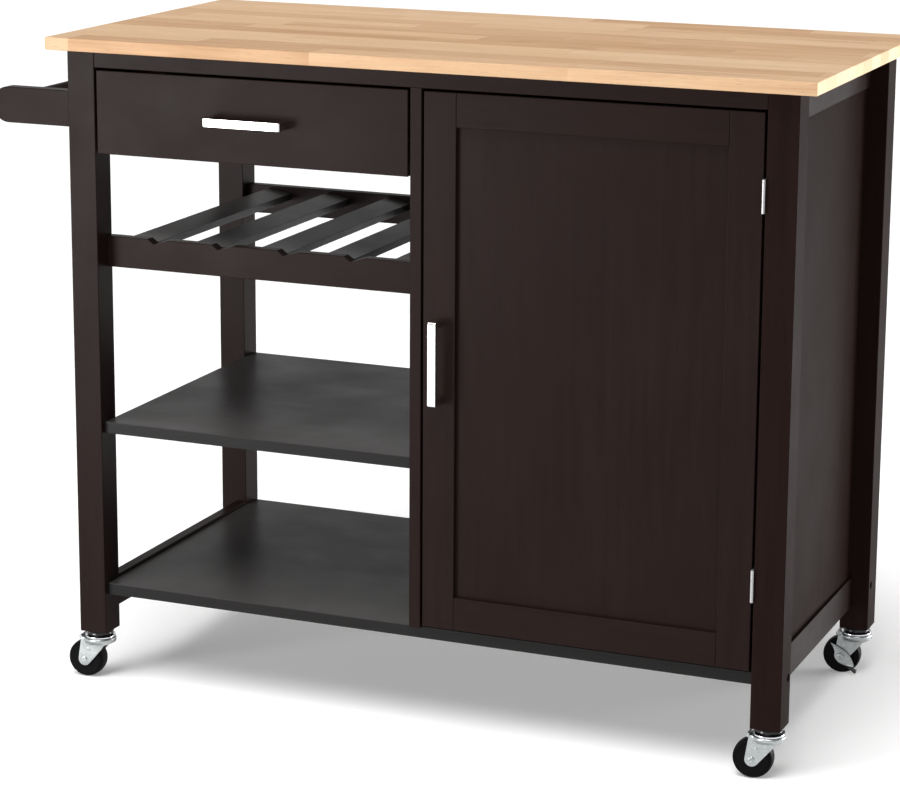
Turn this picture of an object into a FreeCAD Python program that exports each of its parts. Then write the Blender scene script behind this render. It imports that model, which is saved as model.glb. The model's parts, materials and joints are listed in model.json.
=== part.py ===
"""Kitchen island cart: wooden worktop on four legs and swivel casters, with a drawer, a wine
rack and open shelves on the left, a cupboard with a framed door on the right, and a towel rail.

Millimetres, +Z up, front towards -Y.  The origin is the middle of the bounding box on the floor.
"""

import FreeCAD, Part
import math
import os

import Sketcher

DRIVING_DIMENSIONS = {
    # whole cart
    "total_height": 850,
    "caster_height": 66,
    "worktop_length": 1000,
    "worktop_depth": 490,
    "worktop_thick": 16,
    "end_overhang": 23.3,
    "front_overhang": 15,
    "back_overhang": 25,
    "leg_section": 38,
    "panel_thick": 15,
    "edge_round": 1,
    "cut_over": 1,
    "join_lap": 1,
    "worktop_round": 1,
    # rails and boards of the carcass
    "top_front_rail_drop": 21,
    "top_front_rail_thick": 18,
    "top_back_rail_drop": 60,
    "top_side_rail_drop": 45,
    "side_rail_setback": 23,
    "bottom_rail_low": 96,
    "bottom_rail_tall": 42,
    "end_panel_thick": 11,
    "board_front_setback": 8,
    "board_back_setback": 8,
    "bottom_board_low": 119,
    "middle_shelf_low": 337,
    "divider_offset": 1.5,
    "back_panel_thick": 6,
    "back_panel_setback": 17,
    "cabinet_shelf_low": 452,
    "cabinet_shelf_front": 45,
    "cabinet_shelf_slack": 1,
    "shelf_pin_radius": 2.5,
    "shelf_pin_bite": 8,
    "shelf_pin_front_inset": 40,
    "shelf_pin_back_setback": 80,
    # wine rack
    "rack_rail_low": 554,
    "rack_rail_tall": 40,
    "rack_back_rail_lift": 4,
    "rack_front_setback": 25,
    "rack_back_setback": 7,
    "slat_width": 36,
    "slat_thick": 10,
    "slat_pitch": 91.5,
    "slat_tilt": 8,
    "notch_depth": 6.5,
    "notch_near": 9,
    "notch_far": 21,
    # drawer
    "front_gap": 3,
    "front_thick": 18,
    "drawer_front_low": 704,
    "drawer_side_gap": 13,
    "drawer_side_thick": 12,
    "drawer_box_depth": 380,
    "drawer_box_low": 716,
    "drawer_box_tall": 80,
    "drawer_bottom_thick": 4,
    "drawer_bottom_lift": 6,
    "runner_low": 735,
    "runner_tall": 30,
    "runner_reach": 10,
    "runner_sheet": 1.5,
    "runner_setback": 22,
    "runner_length": 410,
    "slider_reach": 8,
    "slider_play": 0.5,
    # door
    "stile_width": 42,
    "door_panel_recess": 6,
    "door_panel_thick": 6,
    "door_groove_depth": 8,
    "door_foot_gap": 4,
    # pulls
    "handle_reach": 24,
    "handle_length": 106,
    "handle_width": 10.5,
    "handle_bar": 5,
    "handle_post": 9,
    "handle_corner": 3,
    "handle_screw_pitch": 96,
    "handle_screw_radius": 2,
    "handle_screw_bite": 12,
    "handle_screw_head_radius": 4,
    "handle_screw_head_tall": 2,
    "drawer_handle_high": 757,
    "door_handle_high": 479.5,
    # butt hinges of the door
    "hinge_tall": 40,
    "hinge_upper_high": 713,
    "hinge_lower_high": 245,
    "hinge_leaf_thick": 1.2,
    "hinge_leaf_wide": 16,
    "hinge_barrel_radius": 2.2,
    "hinge_barrel_forward": 2.3,
    "hinge_pin_radius": 1,
    "hinge_play": 0.06,
    "hinge_knuckle_gap": 0.3,
    "hinge_leaf_clear": 0.4,
    # magnetic catch
    "catch_wide": 12,
    "catch_deep": 26,
    "catch_tall": 40,
    "catch_low": 740,
    "catch_plate_thick": 1.5,
    "catch_plate_inset": 1,
    "catch_air": 0.3,
    # towel rail
    "towel_reach": 113.3,
    "towel_arm_low": 735,
    "towel_arm_tall": 46,
    "towel_arm_thick": 18,
    "towel_arm_setback": 4,
    "towel_rod_radius": 11.5,
    "towel_rod_inset": 24,
    # frame bolts
    "bolt_head_radius": 4.6,
    "bolt_head_tall": 3,
    "bolt_bore_radius": 5,
    "bolt_head_sunk": 2,
    "bolt_shank_radius": 3,
    "bolt_length": 60,
    "bolt_inset": 28,
    # casters
    "wheel_radius": 25,
    "tyre_width": 18,
    "hub_width": 21.4,
    "hub_radius": 8,
    "tread_shoulder": 3,
    "rim_deep": 6,
    "web_thick": 10,
    "wheel_draft": 1,
    "caster_trail": 18,
    "caster_yaw": 184,
    "axle_radius": 3,
    "running_play": 0.06,
    "axle_head_radius": 5,
    "axle_head_tall": 1.2,
    "axle_head_gap": 0.3,
    "fork_inner": 22,
    "fork_outer": 26,
    "crown_low": 52,
    "crown_top": 56,
    "crown_radius": 21,
    "fork_shoulder": 13,
    "fork_shoulder_back": 8,
    "fork_eye_radius": 8.3,
    "swivel_gap": 0.3,
    "race_radius": 20.5,
    "race_top": 61.5,
    "cap_radius": 18.5,
    "kingpin_radius": 3.5,
    "kingpin_head_radius": 6,
    "kingpin_head_tall": 1.5,
    "stem_radius": 4,
    "stem_length": 34,
    # wheel brakes of the two back casters
    "pedal_thick": 1.6,
    "pedal_gap": 0.4,
    "pedal_heel": 22,
    "pedal_toe": 21,
    "pedal_half_width": 8,
    "pedal_pitch": 43,
    "shoe_out": 27.4,
    "shoe_radius": 1.5,
    "shoe_reach": 24,
    "shoe_arm_lap": 3,
}

doc = FreeCAD.newDocument("KitchenIslandCart")
sheet = doc.addObject("Spreadsheet::Sheet", "Dims")
for row, (alias, number) in enumerate(DRIVING_DIMENSIONS.items(), start=1):
    sheet.set(f"A{row}", alias)
    sheet.set(f"B{row}", str(number))
    sheet.setAlias(f"B{row}", alias)
doc.recompute()

# ---------------------------------------------------------------------------
# Reference planes, as expressions on the sheet
# ---------------------------------------------------------------------------
MID_X = "((Dims.towel_reach - Dims.end_overhang) / 2)"
MID_Y = "((Dims.handle_reach - Dims.front_overhang) / 2)"
UNDERSIDE = "(Dims.total_height - Dims.worktop_thick)"
LEFT = f"({MID_X} - Dims.worktop_length / 2 + Dims.end_overhang)"
RIGHT = f"({MID_X} + Dims.worktop_length / 2 - Dims.end_overhang)"
LEFT_IN = f"({LEFT} + Dims.leg_section)"
RIGHT_IN = f"({RIGHT} - Dims.leg_section)"
FRONT = f"({MID_Y} - Dims.worktop_depth / 2 + Dims.front_overhang)"
BACK = f"({MID_Y} + Dims.worktop_depth / 2 - Dims.back_overhang)"
FRONT_IN = f"({FRONT} + Dims.leg_section)"
BACK_IN = f"({BACK} - Dims.leg_section)"
BOARD_FRONT = f"({FRONT} + Dims.board_front_setback)"
BOARD_BACK = f"({BACK} - Dims.board_back_setback)"
DIVIDER_MID = f"({MID_X} + Dims.divider_offset)"
DIVIDER_LEFT = f"({DIVIDER_MID} - Dims.panel_thick / 2)"
DIVIDER_RIGHT = f"({DIVIDER_MID} + Dims.panel_thick / 2)"
BOTTOM_TOP = "(Dims.bottom_board_low + Dims.panel_thick)"
FRONT_TOP = f"({UNDERSIDE} - Dims.top_front_rail_drop - Dims.front_gap)"
PANELS_BACK = f"({FRONT} + Dims.front_thick)"

SUBPARTS = []


# ---------------------------------------------------------------------------
# Helpers
# ---------------------------------------------------------------------------
def mm(alias):
    """Number held by a cell of the sheet."""
    return float(sheet.get(alias))


def value(expression):
    """Number that an expression on the sheet works out to."""
    return float(sheet.evalExpression(expression))


def origin_plane(body, role):
    """One of a body's own origin planes."""
    return next(item for item in body.Origin.OriginFeatures if item.Role == role)


def new_body(label):
    """PartDesign body that becomes a sub-part."""
    body = doc.addObject("PartDesign::Body", label)
    body.Label = label
    return body


def new_sketch(body, role):
    """Empty sketch on one of a body's origin planes."""
    sketch = body.newObject("Sketcher::SketchObject", body.Name + "_sketch")
    sketch.AttachmentSupport = [(origin_plane(body, role), "")]
    sketch.MapMode = "FlatFace"
    return sketch


def rectangle(sketch, width, height):
    """Rectangle from the sketch's origin, its two sides bound to expressions."""
    wide, high = value(width), value(height)
    corners = [
        FreeCAD.Vector(0, 0, 0),
        FreeCAD.Vector(wide, 0, 0),
        FreeCAD.Vector(wide, high, 0),
        FreeCAD.Vector(0, high, 0),
    ]
    for start, end in zip(corners, corners[1:] + corners[:1]):
        sketch.addGeometry(Part.LineSegment(start, end), False)
    for side in range(4):
        sketch.addConstraint(Sketcher.Constraint("Coincident", side, 2, (side + 1) % 4, 1))
    for side, kind in enumerate(("Horizontal", "Vertical", "Horizontal", "Vertical")):
        sketch.addConstraint(Sketcher.Constraint(kind, side))
    sketch.addConstraint(Sketcher.Constraint("Coincident", 0, 1, -1, 1))
    across = sketch.addConstraint(Sketcher.Constraint("DistanceX", 0, 1, 0, 2, wide))
    upward = sketch.addConstraint(Sketcher.Constraint("DistanceY", 1, 1, 1, 2, high))
    sketch.setExpression(f"Constraints[{across}]", width)
    sketch.setExpression(f"Constraints[{upward}]", height)


def closed_outline(sketch, edges):
    """Add edges that follow each other round a closed outline."""
    for edge in edges:
        sketch.addGeometry(edge, False)


def pad(body, sketch, length, midplane=False):
    """Pad of a sketch, its length bound to an expression."""
    feature = body.newObject("PartDesign::Pad", body.Name + "_pad")
    feature.Profile = sketch
    feature.Midplane = midplane
    feature.setExpression("Length", length)
    sketch.Visibility = False
    return feature


def soften(body, feature, radius, edges=None):
    """Round every edge of a feature, or the ones listed, by a radius on the sheet."""
    doc.recompute()
    names = edges or [f"Edge{n}" for n in range(1, len(feature.Shape.Edges) + 1)]
    fillet = body.newObject("PartDesign::Fillet", body.Name + "_round")
    fillet.Base = (feature, names)
    fillet.setExpression("Radius", radius)
    return fillet


def place(item, x, y, z):
    """Bind an object's position to three expressions."""
    item.setExpression("Placement.Base.x", x)
    item.setExpression("Placement.Base.y", y)
    item.setExpression("Placement.Base.z", z)


def board(label, x, y, z, radius="Dims.edge_round", keep=True):
    """Rectangular piece of wood between two expressions each way, with softened edges."""
    body = new_body(label)
    sketch = new_sketch(body, "XY_Plane")
    rectangle(sketch, f"({x[1]}) - ({x[0]})", f"({y[1]}) - ({y[0]})")
    block = pad(body, sketch, f"({z[1]}) - ({z[0]})")
    soften(body, block, radius)
    place(body, x[0], y[0], z[0])
    if keep:
        SUBPARTS.append((label, body))
    return body


def block(x, y, z):
    """Plain box between two expressions each way, for cutting or joining."""
    box = doc.addObject("Part::Box", "block")
    box.setExpression("Length", f"({x[1]}) - ({x[0]})")
    box.setExpression("Width", f"({y[1]}) - ({y[0]})")
    box.setExpression("Height", f"({z[1]}) - ({z[0]})")
    place(box, x[0], y[0], z[0])
    return box


def rod(radius, length, x, y, z, axis=(0, 0, 1)):
    """Cylinder that starts at a point and runs along an axis."""
    cylinder = doc.addObject("Part::Cylinder", "rod")
    cylinder.setExpression("Radius", radius)
    cylinder.setExpression("Height", length)
    cylinder.Placement.Rotation = FreeCAD.Rotation(FreeCAD.Vector(0, 0, 1), FreeCAD.Vector(*axis))
    place(cylinder, x, y, z)
    return cylinder


def fused(items):
    """One solid made of several that meet."""
    fuse = doc.addObject("Part::MultiFuse", "fused")
    fuse.Shapes = items
    return fuse


def cut(base, tools):
    """A base less its tools; every tool has to remove something."""
    doc.recompute()
    for tool in tools:
        if base.Shape.common(tool.Shape).Volume <= 0:
            raise RuntimeError(f"{tool.Name} removes nothing from {base.Label}")
    result = doc.addObject("Part::Cut", "cut")
    result.Base = base
    result.Tool = tools[0] if len(tools) == 1 else fused(tools)
    return result


def finished(label, item):
    """Record an object as the finished sub-part of this label."""
    item.Label = label
    SUBPARTS.append((label, item))
    return item


def group(label, items):
    """Several separate solids that share one node."""
    compound = doc.addObject("Part::Compound", label)
    compound.Links = items
    return finished(label, compound)


def along_x(side):
    """Axis of a rod that runs towards +X, or towards -X for a negative side."""
    return (1, 0, 0) if side > 0 else (-1, 0, 0)


def ordered(start, end, side):
    """The two ends of a span in rising order, for a span that runs towards one side."""
    return (start, end) if side > 0 else (end, start)


# ---------------------------------------------------------------------------
# Worktop, legs and carcass
# ---------------------------------------------------------------------------
def frame_bolt(side, y, z):
    """Bolt that enters a leg from its outer face and runs into the end of a board."""
    face = LEFT if side > 0 else RIGHT
    start = f"{face} + {side} * Dims.bolt_head_sunk"
    head = rod("Dims.bolt_head_radius", "Dims.bolt_head_tall", start, y, z, along_x(side))
    shank_start = f"{start} + {side} * Dims.bolt_head_tall"
    shank = rod("Dims.bolt_shank_radius", "Dims.bolt_length", shank_start, y, z, along_x(side))
    return fused([head, shank])


def bolt_bores(side, y, z):
    """Counterbore and through hole in a leg for one frame bolt."""
    face = LEFT if side > 0 else RIGHT
    depth = "Dims.bolt_head_sunk + Dims.bolt_head_tall"
    wide = rod("Dims.bolt_bore_radius", depth, face, y, z, along_x(side))
    narrow = rod("Dims.bolt_shank_radius", "Dims.leg_section", face, y, z, along_x(side))
    return [wide, narrow]


def board_bore(side, y, z):
    """Blind hole in the end of a board for one frame bolt."""
    face = LEFT if side > 0 else RIGHT
    depth = "Dims.bolt_head_sunk + Dims.bolt_head_tall + Dims.bolt_length"
    return rod("Dims.bolt_shank_radius", depth, face, y, z, along_x(side))


def build_worktop():
    board(
        "worktop",
        (f"{MID_X} - Dims.worktop_length / 2", f"{MID_X} + Dims.worktop_length / 2"),
        (f"{MID_Y} - Dims.worktop_depth / 2", f"{MID_Y} + Dims.worktop_depth / 2"),
        (UNDERSIDE, "Dims.total_height"),
        "Dims.worktop_round",
    )


LEGS = {
    "front_left": ((LEFT, LEFT_IN), (FRONT, FRONT_IN), 1),
    "front_right": ((RIGHT_IN, RIGHT), (FRONT, FRONT_IN), -1),
    "back_left": ((LEFT, LEFT_IN), (BACK_IN, BACK), 1),
    "back_right": ((RIGHT_IN, RIGHT), (BACK_IN, BACK), -1),
}
BOTTOM_BOLT_Z = "(Dims.bottom_board_low + Dims.panel_thick / 2)"
SHELF_BOLT_Z = "(Dims.middle_shelf_low + Dims.panel_thick / 2)"
BOLT_Y = {
    "front": f"({FRONT} + Dims.bolt_inset)",
    "back": f"({BACK} - Dims.bolt_inset)",
}


def bolt_places():
    """Every frame bolt: which leg, which side it enters from, its Y and its height."""
    places = []
    for corner, (_, _, side) in LEGS.items():
        y = BOLT_Y[corner.split("_")[0]]
        places.append((corner, side, y, BOTTOM_BOLT_Z))
        if side > 0:
            places.append((corner, side, y, SHELF_BOLT_Z))
    return places


def build_legs():
    for corner, (x, y, side) in LEGS.items():
        post = board("leg_blank_" + corner, x, y, ("Dims.caster_height", UNDERSIDE), keep=False)
        tools = []
        for where, _, bolt_y, bolt_z in bolt_places():
            if where == corner:
                tools += bolt_bores(side, bolt_y, bolt_z)
        mid_x, mid_y = leg_middle(corner)
        tools.append(rod("Dims.stem_radius", "Dims.stem_length", mid_x, mid_y, "Dims.caster_height"))
        finished("leg_" + corner, cut(post, tools))


def leg_middle(corner):
    """Expressions for the centre line of a leg."""
    x, y, _ = LEGS[corner]
    return f"({x[0]} + Dims.leg_section / 2)", f"({y[0]} + Dims.leg_section / 2)"


def build_bolts():
    group("frame_bolts", [frame_bolt(side, y, z) for _, side, y, z in bolt_places()])


def build_rails():
    between_legs_x = (LEFT_IN, RIGHT_IN)
    between_legs_y = (FRONT_IN, BACK_IN)
    board(
        "top_front_rail",
        between_legs_x,
        (FRONT, f"{FRONT} + Dims.top_front_rail_thick"),
        (f"{UNDERSIDE} - Dims.top_front_rail_drop", UNDERSIDE),
    )
    board(
        "top_back_rail",
        between_legs_x,
        (f"{BOARD_BACK} - Dims.panel_thick", BOARD_BACK),
        (f"{UNDERSIDE} - Dims.top_back_rail_drop", UNDERSIDE),
    )
    left = (f"{LEFT} + Dims.side_rail_setback", LEFT_IN)
    right = (RIGHT_IN, f"{RIGHT} - Dims.side_rail_setback")
    top = (f"{UNDERSIDE} - Dims.top_side_rail_drop", UNDERSIDE)
    bottom = ("Dims.bottom_rail_low", "Dims.bottom_rail_low + Dims.bottom_rail_tall")
    board("top_left_rail", left, between_legs_y, top)
    board("top_right_rail", right, between_legs_y, top)
    board("bottom_left_rail", left, between_legs_y, bottom)
    board("bottom_right_rail", right, between_legs_y, bottom)


def shelf_pin_places():
    """Face that each shelf pin starts from, its direction and its Y."""
    front = f"{FRONT} + Dims.cabinet_shelf_front + Dims.shelf_pin_front_inset"
    back = f"{BACK} - Dims.shelf_pin_back_setback"
    return [(face, side, y) for face, side in ((DIVIDER_RIGHT, -1), (RIGHT_IN, 1)) for y in (front, back)]


def shelf_pin(face, side, y):
    """Pin half in its panel and half out under the shelf."""
    z = "Dims.cabinet_shelf_low - Dims.shelf_pin_radius"
    start = f"{face} - {side} * Dims.shelf_pin_bite"
    return rod("Dims.shelf_pin_radius", "2 * Dims.shelf_pin_bite", start, y, z, along_x(side))


def build_panels():
    pins = shelf_pin_places()
    panel_back = f"{BACK} - Dims.back_panel_setback"
    end_blank = board(
        "end_panel_blank",
        (RIGHT_IN, f"{RIGHT_IN} + Dims.end_panel_thick"),
        (FRONT_IN, BACK_IN),
        ("Dims.bottom_rail_low + Dims.bottom_rail_tall", f"{UNDERSIDE} - Dims.top_side_rail_drop"),
        keep=False,
    )
    right_bores = [shelf_pin(*pin) for pin in pins if pin[1] > 0]
    finished("end_panel", cut(end_blank, right_bores))

    divider_blank = board(
        "divider_blank",
        (DIVIDER_LEFT, DIVIDER_RIGHT),
        (FRONT, BOARD_BACK),
        (BOTTOM_TOP, UNDERSIDE),
        keep=False,
    )
    through = (f"{DIVIDER_LEFT} - Dims.cut_over", f"{DIVIDER_RIGHT} + Dims.cut_over")
    above = f"{UNDERSIDE} + Dims.cut_over"
    front_notch = block(
        through,
        (f"{FRONT} - Dims.cut_over", f"{FRONT} + Dims.top_front_rail_thick"),
        (f"{UNDERSIDE} - Dims.top_front_rail_drop", above),
    )
    back_notch = block(
        through,
        (f"{BOARD_BACK} - Dims.panel_thick", f"{BOARD_BACK} + Dims.cut_over"),
        (f"{UNDERSIDE} - Dims.top_back_rail_drop", above),
    )
    left_bores = [shelf_pin(*pin) for pin in pins if pin[1] < 0]
    finished("divider_panel", cut(divider_blank, [front_notch, back_notch] + left_bores))

    board(
        "cabinet_back_panel",
        (DIVIDER_RIGHT, RIGHT_IN),
        (f"{panel_back} - Dims.back_panel_thick", panel_back),
        (BOTTOM_TOP, f"{UNDERSIDE} - Dims.top_back_rail_drop"),
        "Dims.edge_round / 2",
    )


def build_shelves():
    bottom = board(
        "bottom_board_blank",
        (LEFT_IN, RIGHT_IN),
        (BOARD_FRONT, BOARD_BACK),
        ("Dims.bottom_board_low", BOTTOM_TOP),
        keep=False,
    )
    bores = [board_bore(side, y, z) for _, side, y, z in bolt_places() if z == BOTTOM_BOLT_Z]
    finished("bottom_board", cut(bottom, bores))

    middle = board(
        "middle_shelf_blank",
        (LEFT_IN, DIVIDER_LEFT),
        (BOARD_FRONT, BOARD_BACK),
        ("Dims.middle_shelf_low", "Dims.middle_shelf_low + Dims.panel_thick"),
        keep=False,
    )
    bores = [board_bore(side, y, z) for _, side, y, z in bolt_places() if z == SHELF_BOLT_Z]
    finished("middle_shelf", cut(middle, bores))

    back_face = f"{BACK} - Dims.back_panel_setback - Dims.back_panel_thick"
    board(
        "cabinet_shelf",
        (f"{DIVIDER_RIGHT} + Dims.cabinet_shelf_slack", f"{RIGHT_IN} - Dims.cabinet_shelf_slack"),
        (f"{FRONT} + Dims.cabinet_shelf_front", f"{back_face} - Dims.cabinet_shelf_slack"),
        ("Dims.cabinet_shelf_low", "Dims.cabinet_shelf_low + Dims.panel_thick"),
    )
    group("shelf_pins", [shelf_pin(*pin) for pin in shelf_pin_places()])


# ---------------------------------------------------------------------------
# Wine rack
# ---------------------------------------------------------------------------
SLAT_COUNT = 5
RACK_FRONT = (
    f"({FRONT} + Dims.rack_front_setback)",
    f"({FRONT} + Dims.rack_front_setback + Dims.panel_thick)",
)
RACK_BACK = (
    f"({BACK} - Dims.rack_back_setback - Dims.panel_thick)",
    f"({BACK} - Dims.rack_back_setback)",
)
RACK_TOP = "(Dims.rack_rail_low + Dims.rack_rail_tall)"


def slat_right_edge(number):
    """Right-hand edge of a slat; the last slat touches the divider."""
    return f"({DIVIDER_LEFT} - {SLAT_COUNT - number} * Dims.slat_pitch)"


def neck_notch(number):
    """Wedge that cuts a shallow V in the front rail at a slat's right-hand edge."""
    body = new_body(f"notch_{number}")
    sketch = new_sketch(body, "XZ_Plane")
    above = mm("cut_over")
    grown = 1 + above / mm("notch_depth")
    points = [
        FreeCAD.Vector(0, -mm("notch_depth"), 0),
        FreeCAD.Vector(mm("notch_far") * grown, above, 0),
        FreeCAD.Vector(-mm("notch_near") * grown, above, 0),
    ]
    closed_outline(sketch, [Part.LineSegment(a, b) for a, b in zip(points, points[1:] + points[:1])])
    wedge = pad(body, sketch, "Dims.panel_thick + 2 * Dims.cut_over", midplane=True)
    wedge.Visibility = False
    place(body, slat_right_edge(number), f"({RACK_FRONT[0]} + Dims.panel_thick / 2)", RACK_TOP)
    return body


def build_wine_rack():
    across = (LEFT_IN, DIVIDER_LEFT)
    front_z = ("Dims.rack_rail_low", RACK_TOP)
    front_blank = board("rack_front_blank", across, RACK_FRONT, front_z, keep=False)
    notches = [neck_notch(number) for number in range(1, SLAT_COUNT)]
    finished("wine_rack_front_rail", cut(front_blank, notches))
    board(
        "wine_rack_back_rail",
        across,
        RACK_BACK,
        ("Dims.rack_rail_low + Dims.rack_back_rail_lift", f"{RACK_TOP} + Dims.rack_back_rail_lift"),
    )
    for number in range(1, SLAT_COUNT + 1):
        build_slat(number)


def build_slat(number):
    """Slat between the two rails, its right-hand edge a little lower than its left."""
    body = new_body(f"wine_slat_{number}")
    sketch = new_sketch(body, "XY_Plane")
    rectangle(sketch, "Dims.slat_width", f"{RACK_BACK[0]} - {RACK_FRONT[1]}")
    plank = pad(body, sketch, "Dims.slat_thick")
    soften(body, plank, "Dims.edge_round / 2")
    body.Placement.Rotation = FreeCAD.Rotation(FreeCAD.Vector(0, 1, 0), mm("slat_tilt"))
    lean = "sin(Dims.slat_tilt) * Dims.slat_thick"
    left = f"{slat_right_edge(number)} - cos(Dims.slat_tilt) * Dims.slat_width - {lean}"
    place(body, left, RACK_FRONT[1], f"{RACK_TOP} - cos(Dims.slat_tilt) * Dims.slat_thick")
    SUBPARTS.append((f"wine_slat_{number}", body))


# ---------------------------------------------------------------------------
# Pulls: a flat bar on two posts, held by two screws from behind
# ---------------------------------------------------------------------------
SAME_PLACE = 0.01


def edge_boxes(feature):
    """Name and bounding box of each edge of a feature."""
    return [(f"Edge{n}", edge.BoundBox) for n, edge in enumerate(feature.Shape.Edges, start=1)]


def build_handle(label, upright, x, z):
    """D-shaped pull centred on a point of the front plane."""
    body = new_body(label)
    sketch = new_sketch(body, "XY_Plane")
    half = mm("handle_length") / 2
    reach = mm("handle_reach")
    bar = mm("handle_bar")
    post = mm("handle_post")
    points = [
        FreeCAD.Vector(-half, 0, 0),
        FreeCAD.Vector(-half, -reach, 0),
        FreeCAD.Vector(half, -reach, 0),
        FreeCAD.Vector(half, 0, 0),
        FreeCAD.Vector(half - post, 0, 0),
        FreeCAD.Vector(half - post, bar - reach, 0),
        FreeCAD.Vector(post - half, bar - reach, 0),
        FreeCAD.Vector(post - half, 0, 0),
    ]
    closed_outline(sketch, [Part.LineSegment(a, b) for a, b in zip(points, points[1:] + points[:1])])
    bow = pad(body, sketch, "Dims.handle_width", midplane=True)
    doc.recompute()
    corners = [
        name
        for name, box in edge_boxes(bow)
        if box.ZLength > SAME_PLACE and box.YMax < SAME_PLACE - reach and box.XLength < SAME_PLACE
    ]
    rounded = soften(body, bow, "Dims.handle_corner", corners)
    doc.recompute()
    rim = [
        name
        for name, box in edge_boxes(rounded)
        if box.ZLength < SAME_PLACE and box.YMax < -SAME_PLACE
    ]
    soften(body, rounded, "Dims.edge_round / 2", rim)
    if upright:
        body.Placement.Rotation = FreeCAD.Rotation(FreeCAD.Vector(0, 1, 0), 90)
    place(body, x, FRONT, z)
    finished(label, cut(body, handle_screws(upright, x, z)))


def handle_screws(upright, x, z):
    """Two screws through the front panel into the posts of a pull."""
    screws = []
    for side in (-1, 1):
        offset = f"{side} * Dims.handle_screw_pitch / 2"
        sx, sz = (x, f"({z} + {offset})") if upright else (f"({x} + {offset})", z)
        start = f"({FRONT} - Dims.handle_screw_bite)"
        length = "Dims.handle_screw_bite + Dims.front_thick"
        shank = rod("Dims.handle_screw_radius", length, sx, start, sz, (0, 1, 0))
        head_size = ("Dims.handle_screw_head_radius", "Dims.handle_screw_head_tall")
        head = rod(*head_size, sx, PANELS_BACK, sz, (0, 1, 0))
        screws.append(fused([shank, head]))
    return screws


# ---------------------------------------------------------------------------
# Drawer
# ---------------------------------------------------------------------------
DRAWER_X = (f"({LEFT_IN} + Dims.front_gap)", f"({DIVIDER_LEFT} - Dims.front_gap)")
DRAWER_MID = f"(({LEFT_IN} + {DIVIDER_LEFT}) / 2)"
BOX_X = (f"({LEFT_IN} + Dims.drawer_side_gap)", f"({DIVIDER_LEFT} - Dims.drawer_side_gap)")
BOX_INNER_X = (f"({BOX_X[0]} + Dims.drawer_side_thick)", f"({BOX_X[1]} - Dims.drawer_side_thick)")
BOX_Y = (PANELS_BACK, f"({PANELS_BACK} + Dims.drawer_box_depth)")
BOX_Z = ("Dims.drawer_box_low", "(Dims.drawer_box_low + Dims.drawer_box_tall)")


def drawer_runner(face, side):
    """Channel screwed to the carcass, open towards the drawer."""
    x = ordered(face, f"{face} + {side} * Dims.runner_reach", side)
    y = (f"{FRONT} + Dims.runner_setback", f"{FRONT} + Dims.runner_setback + Dims.runner_length")
    z = ("Dims.runner_low", "Dims.runner_low + Dims.runner_tall")
    web = f"{face} + {side} * Dims.runner_sheet"
    beyond = f"{face} + {side} * (Dims.runner_reach + Dims.cut_over)"
    hollow = block(
        ordered(web, beyond, side),
        (f"{y[0]} - Dims.cut_over", f"{y[1]} + Dims.cut_over"),
        (f"{z[0]} + Dims.runner_sheet", f"{z[1]} - Dims.runner_sheet"),
    )
    return cut(block(x, y, z), [hollow])


def drawer_slider(face, side):
    """Bar on the drawer's side that runs inside its channel."""
    x = ordered(face, f"{face} + {side} * Dims.slider_reach", side)
    inset = "(Dims.runner_sheet + Dims.slider_play)"
    z = (f"Dims.runner_low + {inset}", f"Dims.runner_low + Dims.runner_tall - {inset}")
    return block(x, BOX_Y, z)


def build_drawer():
    front = board(
        "drawer_front_blank",
        DRAWER_X,
        (FRONT, PANELS_BACK),
        ("Dims.drawer_front_low", FRONT_TOP),
        keep=False,
    )
    z = "Dims.drawer_handle_high"
    finished("drawer_front", cut(front, handle_screws(False, DRAWER_MID, z)))
    build_handle("drawer_handle", False, DRAWER_MID, z)
    group("drawer_handle_screws", handle_screws(False, DRAWER_MID, z))

    board("drawer_side_left", (BOX_X[0], BOX_INNER_X[0]), BOX_Y, BOX_Z)
    board("drawer_side_right", (BOX_INNER_X[1], BOX_X[1]), BOX_Y, BOX_Z)
    inner_back = f"({BOX_Y[1]} - Dims.drawer_side_thick)"
    board("drawer_back", BOX_INNER_X, (inner_back, BOX_Y[1]), BOX_Z)
    floor = "Dims.drawer_box_low + Dims.drawer_bottom_lift"
    board(
        "drawer_bottom",
        BOX_INNER_X,
        (BOX_Y[0], inner_back),
        (floor, f"{floor} + Dims.drawer_bottom_thick"),
        "Dims.edge_round / 2",
    )
    group("drawer_runners", [drawer_runner(LEFT_IN, 1), drawer_runner(DIVIDER_LEFT, -1)])
    group("drawer_sliders", [drawer_slider(BOX_X[0], -1), drawer_slider(BOX_X[1], 1)])


# ---------------------------------------------------------------------------
# Cupboard door
# ---------------------------------------------------------------------------
DOOR_X = (f"({DIVIDER_RIGHT} + Dims.front_gap)", f"({RIGHT_IN} - Dims.front_gap)")
DOOR_Z = (f"({BOTTOM_TOP} + Dims.door_foot_gap)", FRONT_TOP)
STILE_LEFT_X = (DOOR_X[0], f"({DOOR_X[0]} + Dims.stile_width)")
STILE_RIGHT_X = (f"({DOOR_X[1]} - Dims.stile_width)", DOOR_X[1])
RAIL_LOW_Z = (DOOR_Z[0], f"({DOOR_Z[0]} + Dims.stile_width)")
RAIL_TOP_Z = (f"({DOOR_Z[1]} - Dims.stile_width)", DOOR_Z[1])
PANEL_X = (
    f"({STILE_LEFT_X[1]} - Dims.door_groove_depth)",
    f"({STILE_RIGHT_X[0]} + Dims.door_groove_depth)",
)
PANEL_Y = (
    f"({FRONT} + Dims.door_panel_recess)",
    f"({FRONT} + Dims.door_panel_recess + Dims.door_panel_thick)",
)
PANEL_Z = (f"({RAIL_LOW_Z[1]} - Dims.door_groove_depth)", f"({RAIL_TOP_Z[0]} + Dims.door_groove_depth)")
DOOR_HANDLE_X = f"({DOOR_X[0]} + Dims.stile_width / 2)"


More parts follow.
